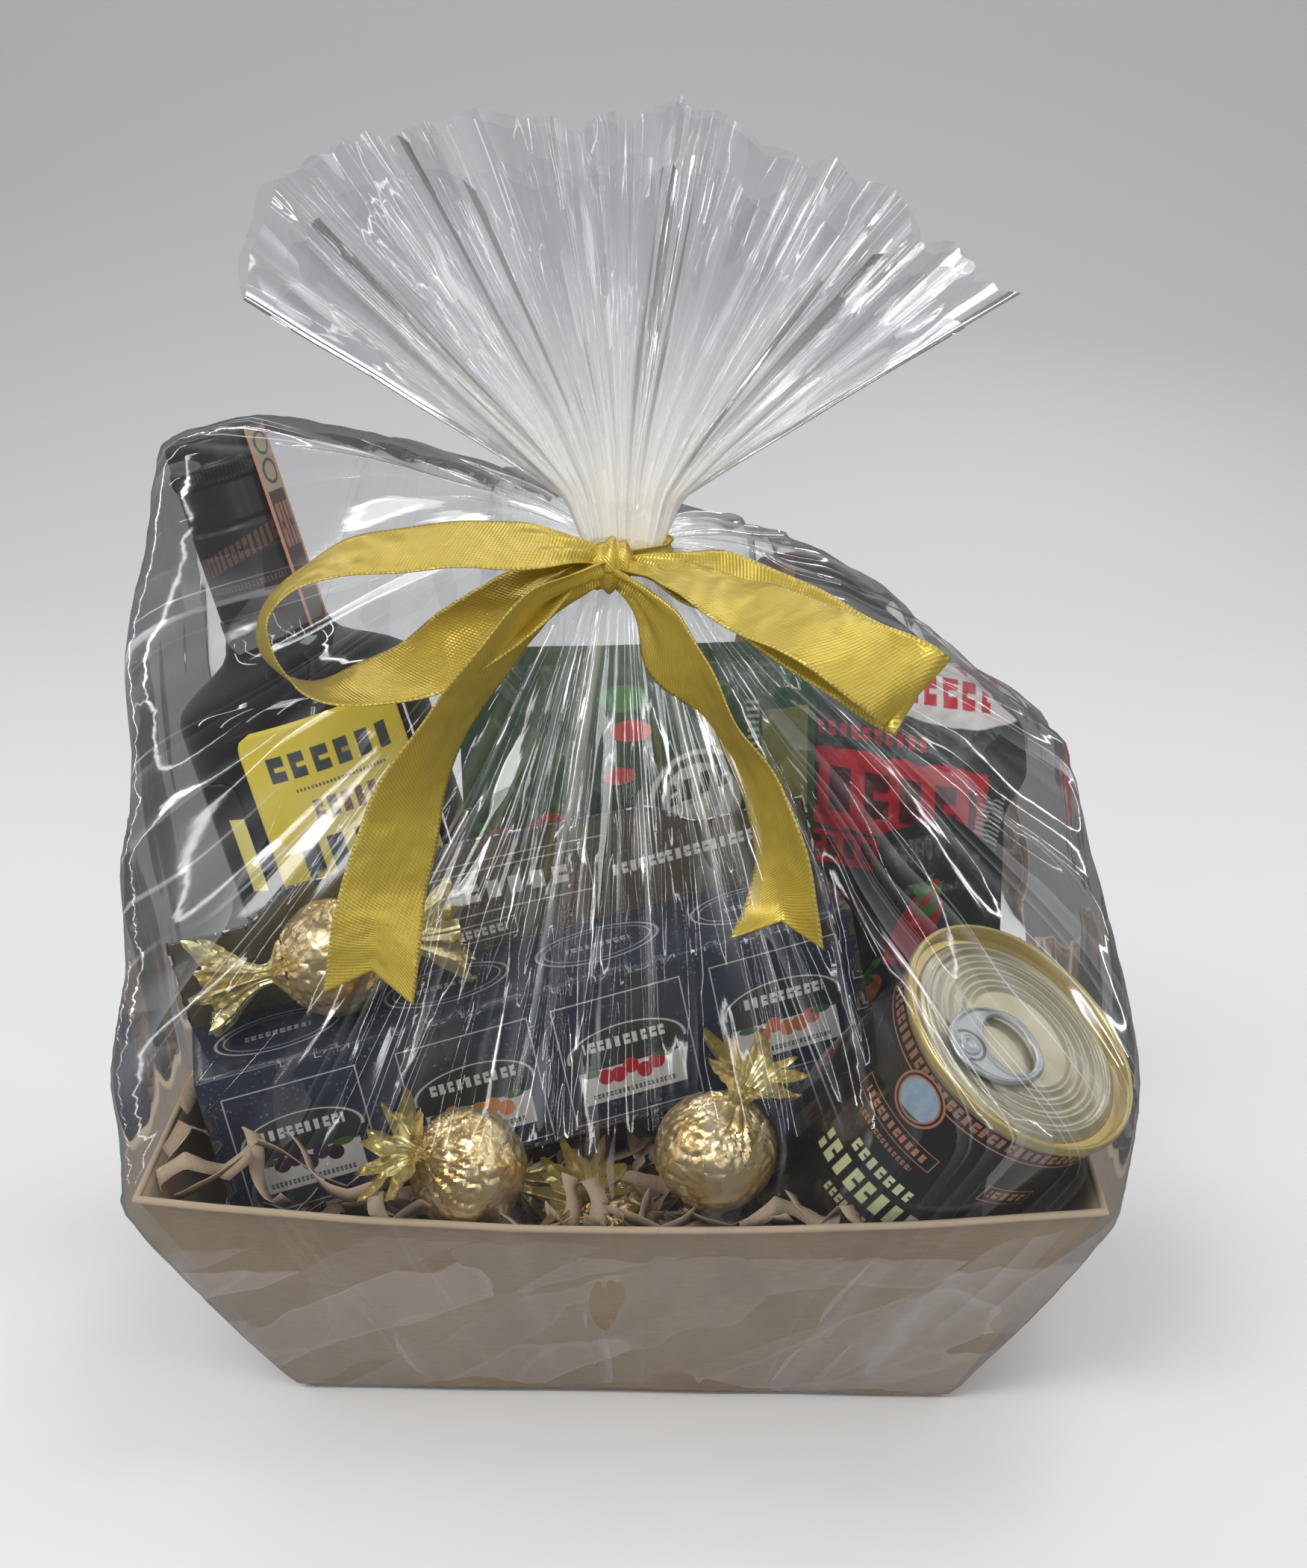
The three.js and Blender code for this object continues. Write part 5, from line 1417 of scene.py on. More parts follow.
@dataclass
class Can:
    """The lying can with its seamed lid and ring pull. Sizes in mm."""

    lid: Spot = (112.7, -74, 125.7)
    axis: Spot = (0.5, -0.36, 0.788)
    length: float = 92.0
    radius: float = 36.2
    seam: float = 38.0

    def __post_init__(self) -> None:
        """Works out the can's frame."""
        way = unit(np.array(self.axis))
        self.place = Place.along(tuple(np.array(self.lid) - way * self.length), self.axis)

    def ring(self) -> Surface:
        """The ring pull: a plate with rolled edges round a wide finger hole, and its rivet.

        At each turn round the hole, the section runs from the hole's oval out to the tab's squarer one, wide
        at the nose and narrow at the tail; its top is raised near both edges.
        """
        section, sides = 44, 120
        a = turns(sides)
        hole = np.stack([6.3 + 8.4 * cos(a), 9.5 * sin(a)], -1)
        square = [np.abs(wave) ** 0.82 * np.sign(wave) for wave in (cos(a), sin(a))]
        tab = np.stack([1.25 + 16.2 * square[0], 12.5 * square[1] * (1 - 0.16 * smooth(-cos(a), 0, 1))], -1)
        b = turns(section)[:, None]
        share = 0.5 - 0.5 * cos(b)
        from_edge = np.minimum(share, 1 - share) * np.linalg.norm(tab - hole, axis=-1)
        thick = 0.5 + 0.5 * hump(from_edge, 1.2, 0.9)
        flat = hole + (tab - hole) * share[..., None]
        points = stacked(flat[..., 0], flat[..., 1], thick * np.tanh(3 * sin(b)))
        bar = Surface.grid(points, True)
        bar.quads = np.vstack([bar.quads, self.closing(section, sides)])
        head = [(0, 0.2), (3.4, 0.2), (3.3, 0.8), (2.6, 1.1), (1.8, 1.0), (1.4, 0.7), (0, 0.7)]
        rivet = lathe(head, 36, 0.6)
        rivet.points += [-8.8, 0, 0]
        whole = Surface.joined([bar, Surface(rivet.points, rivet.quads, rivet.tris, {})])
        whole.data = {"local": whole.points.copy()}
        return whole.placed(Place.turned((-10, -10, self.length - 0.65), 30, 0))

    @staticmethod
    def closing(rows: int, columns: int) -> Array:
        """The faces that join a tube's last row to its first."""
        last, first = (rows - 1) * columns + np.arange(columns), np.arange(columns)
        return np.stack([last, np.roll(last, -1), np.roll(first, -1), first], -1)

    def build(self) -> None:
        """Wall, lid with its rolled circles, and ring."""
        radius, seam, length = self.radius, self.seam, self.length
        wall = lathe([
            (0, 2.4), (seam - 4.4, 2.4), (seam - 3.4, 0.3), (seam - 0.8, 0), (seam, 0.7), (seam, 2.6),
            (radius + 0.3, 3.6), (radius, 5), (radius, length - 6), (radius + 0.4, length - 4),
            (0, length - 4),
        ], 128, 2.0)
        show("can_wall", wall.placed(self.place), BlackTinplate(), "can_body", crease=45)
        level = 2.5
        circles: list[tuple[float, float]] = []
        for bead, proud in ((30.6, 0.9), (26.2, 0.5), (22.0, 0.5), (17.8, 0.45)):
            side = level - 0.8 * proud
            circles += [(bead + 1.3, level), (bead + 0.5, side), (bead - 0.1, level - proud),
                        (bead - 0.7, side), (bead - 1.5, level)]
        lid = lathe(below(
            length, (0, 3.6), (seam - 1.2, 3.6), (seam - 0.2, 3.2), (seam, 2.4), (seam, 0.9),
            (seam - 0.3, 0.2), (seam - 0.9, 0), (seam - 1.5, 0.2), (seam - 1.9, 0.9), (seam - 2.6, 4.4),
            (seam - 3.6, 4.6), (seam - 4.6, 3.6), (seam - 5.4, level), *circles, (0, level),
        ), 160, 0.9)
        show("can_end", lid.placed(self.place), LacqueredTin(), "can_lid", crease=60)
        show("ring_pull", self.ring().placed(self.place), RingMetal(), "can_ring", crease=60)


@dataclass
class Pouch:
    """A flat plastic pack: its outline in its own plane, its place and how far it swells. Sizes in mm."""

    name: str
    node: str
    finish: Finish
    at: Spot
    turn: float
    lean: float
    depth: float
    outline: tuple[tuple[float, float], ...]
    seed: int = 0

    def rim(self, count: int = 220) -> Array:
        """The outline at even steps, with its corners rounded by averaging neighbours."""
        corners = np.array([*self.outline, self.outline[0]], float)
        run = run_along(corners)
        at = np.linspace(0, run[-1], count, endpoint=False)
        rim = np.stack([np.interp(at, run, corners[:, k]) for k in (0, 1)], -1)
        for _ in range(3):
            rim = (np.roll(rim, 1, 0) + rim * 2 + np.roll(rim, -1, 0)) / 4
        return rim

    def build(self) -> None:
        """Front and back as rings that shrink from the outline to the middle.

        The skin swells by the root of one minus the square of the ring's share, inside a flat seam, and is
        rumpled by creases that run in from the seam.
        """
        rim = self.rim()
        share = np.concatenate([np.linspace(0.04, 0.9, 26), np.linspace(0.915, 1, 6)])
        swell = self.depth * np.sqrt(np.maximum(0, 1 - np.minimum(share / 0.9, 1) ** 2.4))
        run = np.arange(len(rim)) / len(rim) * TAU
        flat = rim[None] * share[:, None, None]
        crease = ridged(Ripple(self.seed + 5, 22)(stacked(flat[..., 0], flat[..., 1] * 0.7, 0)))
        pleats = np.abs(sin(run * 23 + 2 * sin(run * 5)))
        edge = hump(share, 0.86, 0.12)[:, None]
        lift = swell[:, None] - 1.3 * crease**3 * (swell[:, None] > 1)
        lift = lift - 1.1 * edge * pleats * (self.depth / 10)
        lift = np.maximum(lift, 0) + 0.3
        back, front = (stacked(flat[..., 0], side * lift, flat[..., 1]) for side in (1, -1))
        rows = np.vstack([back, front[::-1]])
        from_middle = np.abs(rows[..., 0]) + np.abs(rows[..., 2])
        rows[..., 1] += 0.8 * Ripple(self.seed + 1, 40)(rows) * smooth(from_middle, 40, 110)
        surface = Surface.grid(rows, True, True, local=rows)
        surface = surface.placed(Place.turned(self.at, self.turn, self.lean))
        show(self.name, surface, self.finish, self.node, crease=50)


@dataclass
class Sweet:
    """A chocolate in crinkled foil: a ball with a twist of foil at each end. Sizes in mm."""

    number: int
    at: Spot
    twists: tuple[tuple[Spot, float, float], ...]
    radius: float = 17.2

    def ball(self) -> Surface:
        """A sphere on a grid of turn and tilt, with facets, and creased towards the twists."""
        tilt = np.linspace(0.03, math.pi - 0.03, 66)[:, None]
        turn = turns(110)
        way = stacked(sin(tilt) * cos(turn), sin(tilt) * sin(turn), cos(tilt))
        along = unit(np.array(self.twists[0][0], float))
        side = unit(np.cross(along, [0.3, 0.5, 0.9]))
        other = np.cross(along, side)
        round_it = np.arctan2(way @ other, way @ side)
        pole = np.abs(way @ along)
        pleat = np.abs(sin(round_it * 13 + 2 * sin(round_it * 4))) * smooth(pole, 0.25, 0.95)
        skin = way * self.radius
        facets = ridged(Ripple(40 + self.number, 9)(skin))
        fine = ridged(Ripple(60 + self.number, 4.4)(skin))
        dents = 0.6 * facets**2 + 0.26 * fine**2 + 0.9 * pleat
        size = self.radius + 0.3 - dents + 0.35 * Ripple(80 + self.number, 16)(skin)
        points = way * np.minimum(size, self.radius + 0.5)[..., None] + np.array(self.at)
        return Surface.grid(points[:, ::-1], True, True, local=0 * points)

    def twist(self, to: Spot, bend: float, mouth: float, seed: int) -> Surface:
        """One twist: a pleated tube that narrows to a neck and opens into a ragged fan.

        Pleats are sines round the tube that grow towards the mouth and cut its edge ragged.

        Args:
            to: the vector from the ball's middle to the mouth's middle.
            bend: how far the end sags along Y.
            mouth: the mouth's radius.
            seed: varies the pleats.

        Returns:
            The open tube.
        """
        way = np.array(to, float)
        reach = float(np.linalg.norm(way))
        way = way / reach
        side = unit(np.cross(way, [0, 0, 1] if abs(way[2]) < 0.8 else [1, 0, 0]))
        other = np.cross(way, side)
        t = np.linspace(0, 1, 34)[:, None]
        turn = turns(96)
        run = self.radius * 0.8 + (reach - self.radius * 0.8) * t
        neck = smooth(t, 0, 0.24)
        size = 9 * (1 - neck) + 3.0 * neck + (mouth - 3.0) * smooth(t, 0.26, 1.0) ** 1.1
        pleats = sin(turn * 9 + seed) + 0.6 * sin(turn * 15 + seed * 2.3)
        pleats = pleats + 0.3 * sin(turn * 25 + seed)
        size = size * (1 + (0.06 + 0.2 * t) * pleats)
        ragged = t**3 * (1.6 * sin(turn * 5 + seed) + 1.1 * pleats)
        middle = way * (run + ragged)[..., None]
        middle[..., 1] += bend * np.maximum(0, (run - self.radius) / (reach - self.radius)) ** 2
        points = middle + (side * cos(turn)[:, None] + other * sin(turn)[:, None]) * size[..., None]
        points += 0.35 * Ripple(seed + 9, 5)(points)[..., None] * t[..., None] * way
        return Surface.grid(points + np.array(self.at), True, local=stacked(turn, run, smooth(t, 0.0, 0.3)))

    def build(self) -> None:
        """The ball and its twists as one piece."""
        parts = [self.ball()]
        for k, (to, bend, mouth) in enumerate(self.twists):
            parts.append(self.twist(to, bend, mouth, self.number * 3 + k))
        node = f"foil_sweet_{self.number}"
        show(f"sweet_{self.number}", Surface.joined(parts), GoldFoil(), node, crease=24)


@dataclass
class Bow:
    """The satin bow: two loops, two tails, a knot and the band round the film's neck. Sizes in mm.

    Each station is a middle point and the direction across the ribbon, as in the solid.
    """

    width: float = 25.0
    held: float = 9.0
    spread_over: float = 28.0
    knot: Spot = (-4, -29, 248)
    left_loop: Route = (
        (-4, -29, 249, 0.1, 0.9, 0.3), (-11, -32, 253, 0.1, 0.95, 0.2), (-25, -38, 256, 0.25, 0.94, 0.2),
        (-55, -46, 257, -0.1, 0.94, 0.31), (-78, -51, 254, -0.15, 0.98, 0.09),
        (-91, -53, 248, -0.29, 0.95, -0.1), (-98, -55, 238, -0.28, 0.94, -0.2),
        (-97, -57, 228, -0.28, 0.93, -0.23), (-89, -57, 221, -0.2, 0.96, -0.2),
        (-74, -57, 220, -0.3, 0.92, 0.12), (-57, -53, 224, -0.46, 0.79, 0.38),
        (-44, -48, 231, -0.5, 0.73, 0.45), (-31, -41, 239, -0.52, 0.73, 0.42),
        (-15, -33, 247, -0.44, 0.83, 0.28), (-5, -29, 248, -0.3, 0.9, 0.2),
    )
    right_loop: Route = (
        (-3, -28, 247, 0.1, 0.9, 0.3), (10, -31, 248, 0.2, 0.93, 0.2), (23, -36, 246, 0.28, 0.83, 0.48),
        (36, -42, 242, 0.46, 0.75, 0.48), (51, -55, 236, 0.46, 0.6, 0.66),
        (64, -66, 231, 0.45, 0.51, 0.74), (76, -75, 226, 0.58, 0.1, 0.8), (79, -79, 226, 0.6, 0, 0.8),
        (73, -81, 231, 0.52, 0.5, 0.7), (60, -78, 238, 0.3, 0.8, 0.5), (48, -70, 242, 0.28, 0.89, 0.36),
        (33, -57, 245, 0.39, 0.9, 0.21), (22, -46, 248, 0.23, 0.97, 0.08),
        (13, -38, 249, 0.17, 0.98, 0.02), (-2, -29, 249, 0.1, 0.95, 0.1),
    )
    left_tail: Route = (
        (-4, -31, 247, -0.3, -0.8, 0.4), (-10, -37, 245, -0.3, -0.83, 0.4),
        (-22, -45, 240, -0.44, -0.87, 0.22), (-34, -53, 228, -0.42, -0.88, 0.24),
        (-44, -55, 214.5, -0.42, -0.86, 0.25), (-55, -63, 197, -0.6, -0.76, 0.18),
        (-63, -72, 173.5, -0.85, -0.48, 0.2), (-66, -78, 159.5, -0.93, -0.28, 0.2),
        (-69, -84, 138.5, -0.99, 0, 0.14),
    )
    right_tail: Route = (
        (-3, -31, 246, 0.3, -0.85, 0.4), (4, -38, 241, 0.35, -0.84, 0.4),
        (12, -47, 230, 0.57, -0.74, 0.37), (22, -56, 220, 0.4, -0.82, 0.4),
        (31, -63, 207, 0.3, -0.9, 0.3), (39, -71, 194, 0.42, -0.87, 0.25),
        (44, -79, 180, 0.57, -0.75, 0.32), (44, -84, 166, 0.75, -0.5, 0.4), (43, -88, 158, 0.92, 0, 0.39),
    )

    def strip(self, stations: Route, ends: int, notch: float = 0.0) -> tuple[Surface, float]:
        """One length of ribbon through its stations, gathered into pleats where the knot holds it.

        The half width eases from the knot's to the ribbon's; pleats are a cosine across that dies away with
        it. A tail's last rows are drawn back in the middle into a V.

        Args:
            stations: what it runs through.
            ends: 2 where both ends are in the knot, 1 where only the first is.
            notch: the depth of the V at its end, if it has one.

        Returns:
            The strip and its length.
        """
        path = np.array(stations, float)
        rows, columns = 170, 17
        run = np.linspace(0, 1, rows)
        length = float(run_along(curve_through(path, 400)[:, :3])[-1])
        from_knot = np.minimum(run, 1 - run) * length if ends == 2 else run * length
        spread = smooth(from_knot, 0, self.spread_over)
        half = (self.held + (self.width - self.held) * spread) / 2
        x = np.linspace(-1, 1, columns)
        pleat = 1.5 * (1 - smooth(from_knot, 2, 34))[:, None] * cos(x * math.pi * 2.5)
        wave = sin(run * length / 4.6 + 1)[:, None] * 0.32 + 0.55 * sin(run * length / 6.7)[:, None] * x
        cup = spread[:, None] * (0.5 * (x**2 - 0.4) + wave)
        strip = swept(path, rows, columns, half, pleat + cup)
        if notch:
            grid = strip.points.reshape(rows, columns, 3)
            back = unit(grid[-1, 0] - grid[-2, 0])
            near = smooth(run, 0.8, 1.0)[:, None] * (1 - np.abs(x))
            strip.points = (grid - back * (near * notch)[..., None]).reshape(-1, 3)
        return strip, length

    def knot_wrap(self) -> Surface:
        """The turn of ribbon over the knot: a band round an upright oval, with two soft folds in it."""
        turn = turns(72)
        x = np.linspace(-1, 1, 19)[:, None]
        swell = 1 + 0.1 * cos(x * math.pi * 2.2 + 0.5 * sin(turn)) - 0.42 * x**4
        up, out = 7.4 * swell, 6.6 * swell
        lean = 0.22 * sin(turn)
        points = stacked(
            self.knot[0] + 6.4 * x * (0.85 + 0.15 * cos(turn * 2)) + 3 * lean,
            self.knot[1] - out * cos(turn),
            self.knot[2] + up * sin(turn),
        )
        return Surface.grid(points, True, True, local=stacked(12 * x, turn * 7, 0))

    def neck_band(self) -> Surface:
        """The ribbon round the film's neck: a pleated ring."""
        turn = turns(160)
        v = np.linspace(-1, 1, 13)[:, None]
        size = 13.7 + 0.5 * cos(v * 7 + sin(turn * 2)) + 0.3 * sin(turn * 9)
        points = stacked(-1 + size * cos(turn), -9 + size * sin(turn), 247.6 + 3.6 * v)
        return Surface.grid(points, True, local=stacked(12 * v, turn * 13.7, 0))

    def build(self) -> None:
        """Loops, tails, knot and band."""
        satin = SatinRibbon()
        for name, stations, ends, notch in (
            ("bow_loop_left", self.left_loop, 2, 0.0), ("bow_loop_right", self.right_loop, 2, 0.0),
            ("bow_tail_left", self.left_tail, 1, 8.0), ("bow_tail_right", self.right_tail, 1, 8.0),
        ):
            strip, length = self.strip(stations, ends, notch)
            piece = show(name, strip, satin, "ribbon_bow", crease=70, thick=0.35)
            LOG.info("%s is %.0f mm long", name, length)
        knot = Surface.joined([self.knot_wrap(), self.neck_band()])
        show("bow_knot", knot, satin, "ribbon_bow", crease=70, thick=0.3)


@dataclass
class FilmWrap:
    """The clear film: a sack drawn tight over its contents, gathered at the tie, and the fan above it."""

    centre: Spot = (-1, -9, 120)
    tie: float = 247.5
    tie_radius: float = 10.8
    neck: float = 251.2
    columns: int = 600
    sack_rows: int = 104
    fan_rows: int = 44
    fan_angle: float = 57.0
    seed: int = 12

    def hull_planes(self) -> tuple[Array, Array]:
        """The planes of the solid sack's convex hull: outward normals and distances from the centre."""
        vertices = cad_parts["film_sack"].data.vertices
        work = bmesh.new()
        for place in np.array([vertex.co for vertex in vertices]) / MM - np.array(self.centre):
            work.verts.new(place)
        bmesh.ops.convex_hull(work, input=work.verts)
        work.normal_update()
        normals = np.array([face.normal[:] for face in work.faces])
        offsets = np.array([face.normal.dot(face.verts[0].co) for face in work.faces])
        work.free()
        normals *= np.where(offsets < 0, -1, 1)[:, None]
        keep = np.abs(offsets) > 1
        return normals[keep], np.abs(offsets)[keep]

    def sack(self) -> tuple[Array, Array, Array]:
        """The sack's points, from its pole under the tray up to the tie, their flow and their veil: milk, and
        the tension lines that get a painted highlight.

        A point lies where its ray from the centre first meets a plane of the hull: distance over the dot of
        normal and ray, the least of all, rounded by a soft minimum. Near the neck it is moved to the tie.
        Folds, slack and tension lines then push it out.
        """
        turn = turns(self.columns)
        start = math.atan2(self.tie_radius, self.neck - self.centre[2])
        tilt = np.linspace(math.pi - 0.02, start, self.sack_rows)[:, None]
        way = stacked(sin(tilt) * cos(turn), sin(tilt) * sin(turn), cos(tilt))
        normals, offsets = self.hull_planes()
        reach = offsets / np.maximum(way.reshape(-1, 3) @ normals.T, 1e-4)
        soft = 0.7 + 1.3 * smooth(-way[..., 2].ravel(), 0.45, 0.7)
        least = reach.min(1, keepdims=True)
        size = least[:, 0] - soft * np.log(np.exp(-np.minimum(reach - least, 40) / soft[:, None]).sum(1))
        size = (size + 0.3 + soft).reshape(way.shape[:2])
        points = way * size[..., None]
        flat = np.hypot(points[..., 0], points[..., 1])
        lift = (self.tie - self.centre[2]) - points[-1, :, 2].mean()
        points[..., 2] += lift * np.exp(-np.maximum(flat - self.tie_radius, 0) / 17) * (tilt < 1.3)
        down = np.hypot(flat, (self.tie - self.centre[2]) - points[..., 2])
        height = points[..., 2] + self.centre[2]
        loose = smooth(down, 12, 70) * (0.25 + 0.75 * smooth(height, 60, 110))
        slack = self.slack(turn, down, points) * loose * smooth(tilt, math.pi - 0.45, math.pi - 0.85)
        lines = self.tension(turn, down)
        push = self.folds(turn, down) + np.maximum(slack, -0.3) + lines
        points = points + way * (push * smooth(height, 0.5, 14))[..., None] + np.array(self.centre)
        points[..., 2] = np.maximum(points[..., 2], 0)
        milk = 0.95 * np.exp(-down / 17) + 0.12 * np.exp(-down / 45)
        flow = stacked(cos(turn), sin(turn), down)
        # The veil's third number marks the tension lines for a painted highlight.
        return points, flow, stacked(milk, 0, smooth(lines, 0.9, 2.1))

    def slack(self, turn: Array, down: Array, points: Array) -> Array:
        """Slack as straight creases: broad folds along the run and facets across them, a little outwards."""
        rng = np.random.default_rng(self.seed + 20)
        total = 0.6 + np.zeros_like(down)
        for count, slant in ((9, 0.002), (14, -0.0016), (23, 0.001)):
            uneven = 0.3 * sin(turn * 2 + count) + rng.uniform()
            wave = pleated((turn + slant * down) * count / TAU + uneven)
            total = total + wave * np.minimum(0.03 * TAU * down / count, 1.0)
        for wavelength, depth in ((120, 1.1), (84, 0.8), (61, 0.6), (44, 0.45), (37, 0.4)):
            way = unit(rng.normal(size=3) * [1, 1, 1.3])
            bend = 0.35 * sin(points @ unit(rng.normal(size=3)) * TAU / 210 + rng.uniform(0, 6))
            total = total + depth * pleated(points @ way / wavelength + bend)
        return total

    def folds(self, turn: Array, down: Array) -> Array:
        """Folds that leave the tie: triangle waves of the turn, dense at the tie, sparse further down."""
        wander = turn + 0.06 * sin(turn * 3 + 1) + 0.03 * sin(turn * 7 - down / 90)
        dense = 1 + pleated(wander * 27 / TAU) * 0.6 + 0.4 * pleated(wander * 46 / TAU)
        sparse = 0.5 + 0.5 * pleated(wander * 13 / TAU + 0.2 * sin(turn * 4))
        near = np.exp(-down / 30) * (0.25 + 0.75 * smooth(down, 0, 16))
        return 1.6 * dense * near + 2.4 * sparse**4 * np.exp(-down / 110) * smooth(down, 8, 40)

    def tension(self, turn: Array, down: Array) -> Array:
        """Narrow raised lines from the tie down over the sack."""
        rng = np.random.default_rng(self.seed + 5)
        total = np.zeros_like(down)
        for _ in range(58):
            at, slant = rng.uniform(0, TAU), rng.normal(0, 0.0007)
            end, width = rng.uniform(110, 330), rng.uniform(0.7, 2.0)
            away = np.abs((turn - at - slant * down + math.pi) % TAU - math.pi) * np.maximum(down, 12)
            ends = smooth(end - down, 0, 60) * smooth(down, 5, 30)
            total += rng.uniform(0.5, 1.7) * np.exp(-away / width) * ends
        return np.minimum(total, 2.6)

    def outline(self, share: Array) -> Array:
        """The fan's reach before its ragged edge, by the place from -1 at its left to 1 at its right."""
        bulges = 16 * hump(share, -0.7, 0.3) + 2 * hump(share, 0.25, 0.1) - 3 * hump(share, 0.5, 0.08)
        return 110 + 3 * share**2 + bulges

    def fan(self, depth: float = 24.0, layer: int = 0, short: float = 0.0) -> tuple[Array, Array, Array]:
        """The fan from the tie up, its flow and its veil: milk, and the pleat crests that get a painted
        highlight.

        The turn is eased from a round neck into an even spread of the fan's angle; the two halves stand
        apart by the root of one minus the place squared. Pleats are triangle waves of an unevenly stretched
        turn and cut the edge ragged.

        Args:
            depth: half the fan's depth at its edge.
            layer: varies the pleats of an inner layer.
            short: how much shorter the layer is.

        Returns:
            The grid of points, its flow and its veil.
        """
        turn = turns(self.columns)
        t = np.linspace(0, 1, self.fan_rows)[:, None]
        place = 1 - 2 * np.where(turn <= math.pi, turn, TAU - turn) / math.pi
        spread = smooth(t, 0, 0.3)
        half = np.sign(sin(turn) + 1e-9)
        uneven = turn + 0.14 * sin(turn * 3 + layer) + 0.07 * sin(turn * 8 + 2 * layer)
        drift = 0.05 * sin(turn * 5 + layer) * t
        broad = pleated((uneven + drift) * 12 / TAU + 0.37 * layer)
        middling = pleated((uneven - drift) * 21 / TAU + 0.61 * layer)
        narrow = pleated((uneven + 2 * drift) * 40 / TAU + 0.13 * layer)
        pleats = broad + 0.6 * middling + 0.18 * narrow
        ragged = 3.4 * pleated(turn * 9 / TAU + 0.2 * layer) + 2.2 * middling + 1.2 * narrow
        reach = (self.outline(place) + ragged - short) * t
        lean = np.radians(self.fan_angle) * place + 0.02 * pleated(turn * 13 / TAU) * t
        neck = self.tie_radius - 1.2
        across = ((1 - spread) * cos(turn) + spread * place) * neck
        stand = neck * (1 - t) + depth * t
        pleat = (0.7 + 2.9 * t**0.8) * pleats * 0.55 * np.minimum(1, 3 * (1 - np.abs(place)) + 0.3)
        y = half * stand * np.sqrt(np.maximum(0, 1 - place**2)) + pleat
        points = stacked(
            self.centre[0] + across + sin(lean) * reach,
            self.centre[1] + y,
            self.tie + 10.5 * smooth(t, 0, 0.09) + cos(lean) * reach,
        )
        bend = pleated(points @ unit(np.array([0.5, 0.2, 1.0])) / 47 + layer)
        bend = bend + pleated(points @ [0.02, 0, -0.012])
        points[..., 1] += 0.9 * bend * smooth(t, 0.25, 0.8)
        milk = 0.98 * np.exp(-reach / 22) + 0.14 * np.exp(-reach / 55)
        # Crest marks the pleats' ridges for a painted highlight.
        crest = smooth(np.abs(pleats), 1.45, 1.75) * smooth(t, 0.1, 0.4)
        return points, stacked(cos(turn), sin(turn), -(reach + 2)), stacked(milk, 0, crest)

    def build(self) -> None:
        """The sack and fan as one sheet, and a layer folded inside the fan."""
        sack, fan = self.sack(), self.fan()
        fan[0][0] = sack[0][-1] * 0.5 + fan[0][0] * 0.5
        points, flow, veil = (np.vstack(pair) for pair in zip(sack, fan))
        wrap = Surface.grid(points, True, flow=flow, veil=veil)
        pole = len(wrap.points)
        wrap.points = np.vstack([wrap.points, points[0].mean(0)])
        wrap.data = {name: np.vstack([values, values[0]]) for name, values in wrap.data.items()}
        first = np.arange(self.columns)
        wrap.tris = np.stack([np.full(self.columns, pole), np.roll(first, -1), first], -1)
        points, flow, veil = (grid[3:] for grid in self.fan(9, 1, 14))
        inner = Surface.grid(points, True, flow=flow, veil=veil)
        for film in (
            show("clear_film_wrap", wrap, ClearFilm(), "film_sack", "film_fan", crease=75),
            show("film_fan_layers", inner, ClearFilm(), "film_fan", crease=75),
        ):
            film.visible_shadow = film.visible_diffuse = film.visible_glossy = False


# The stage


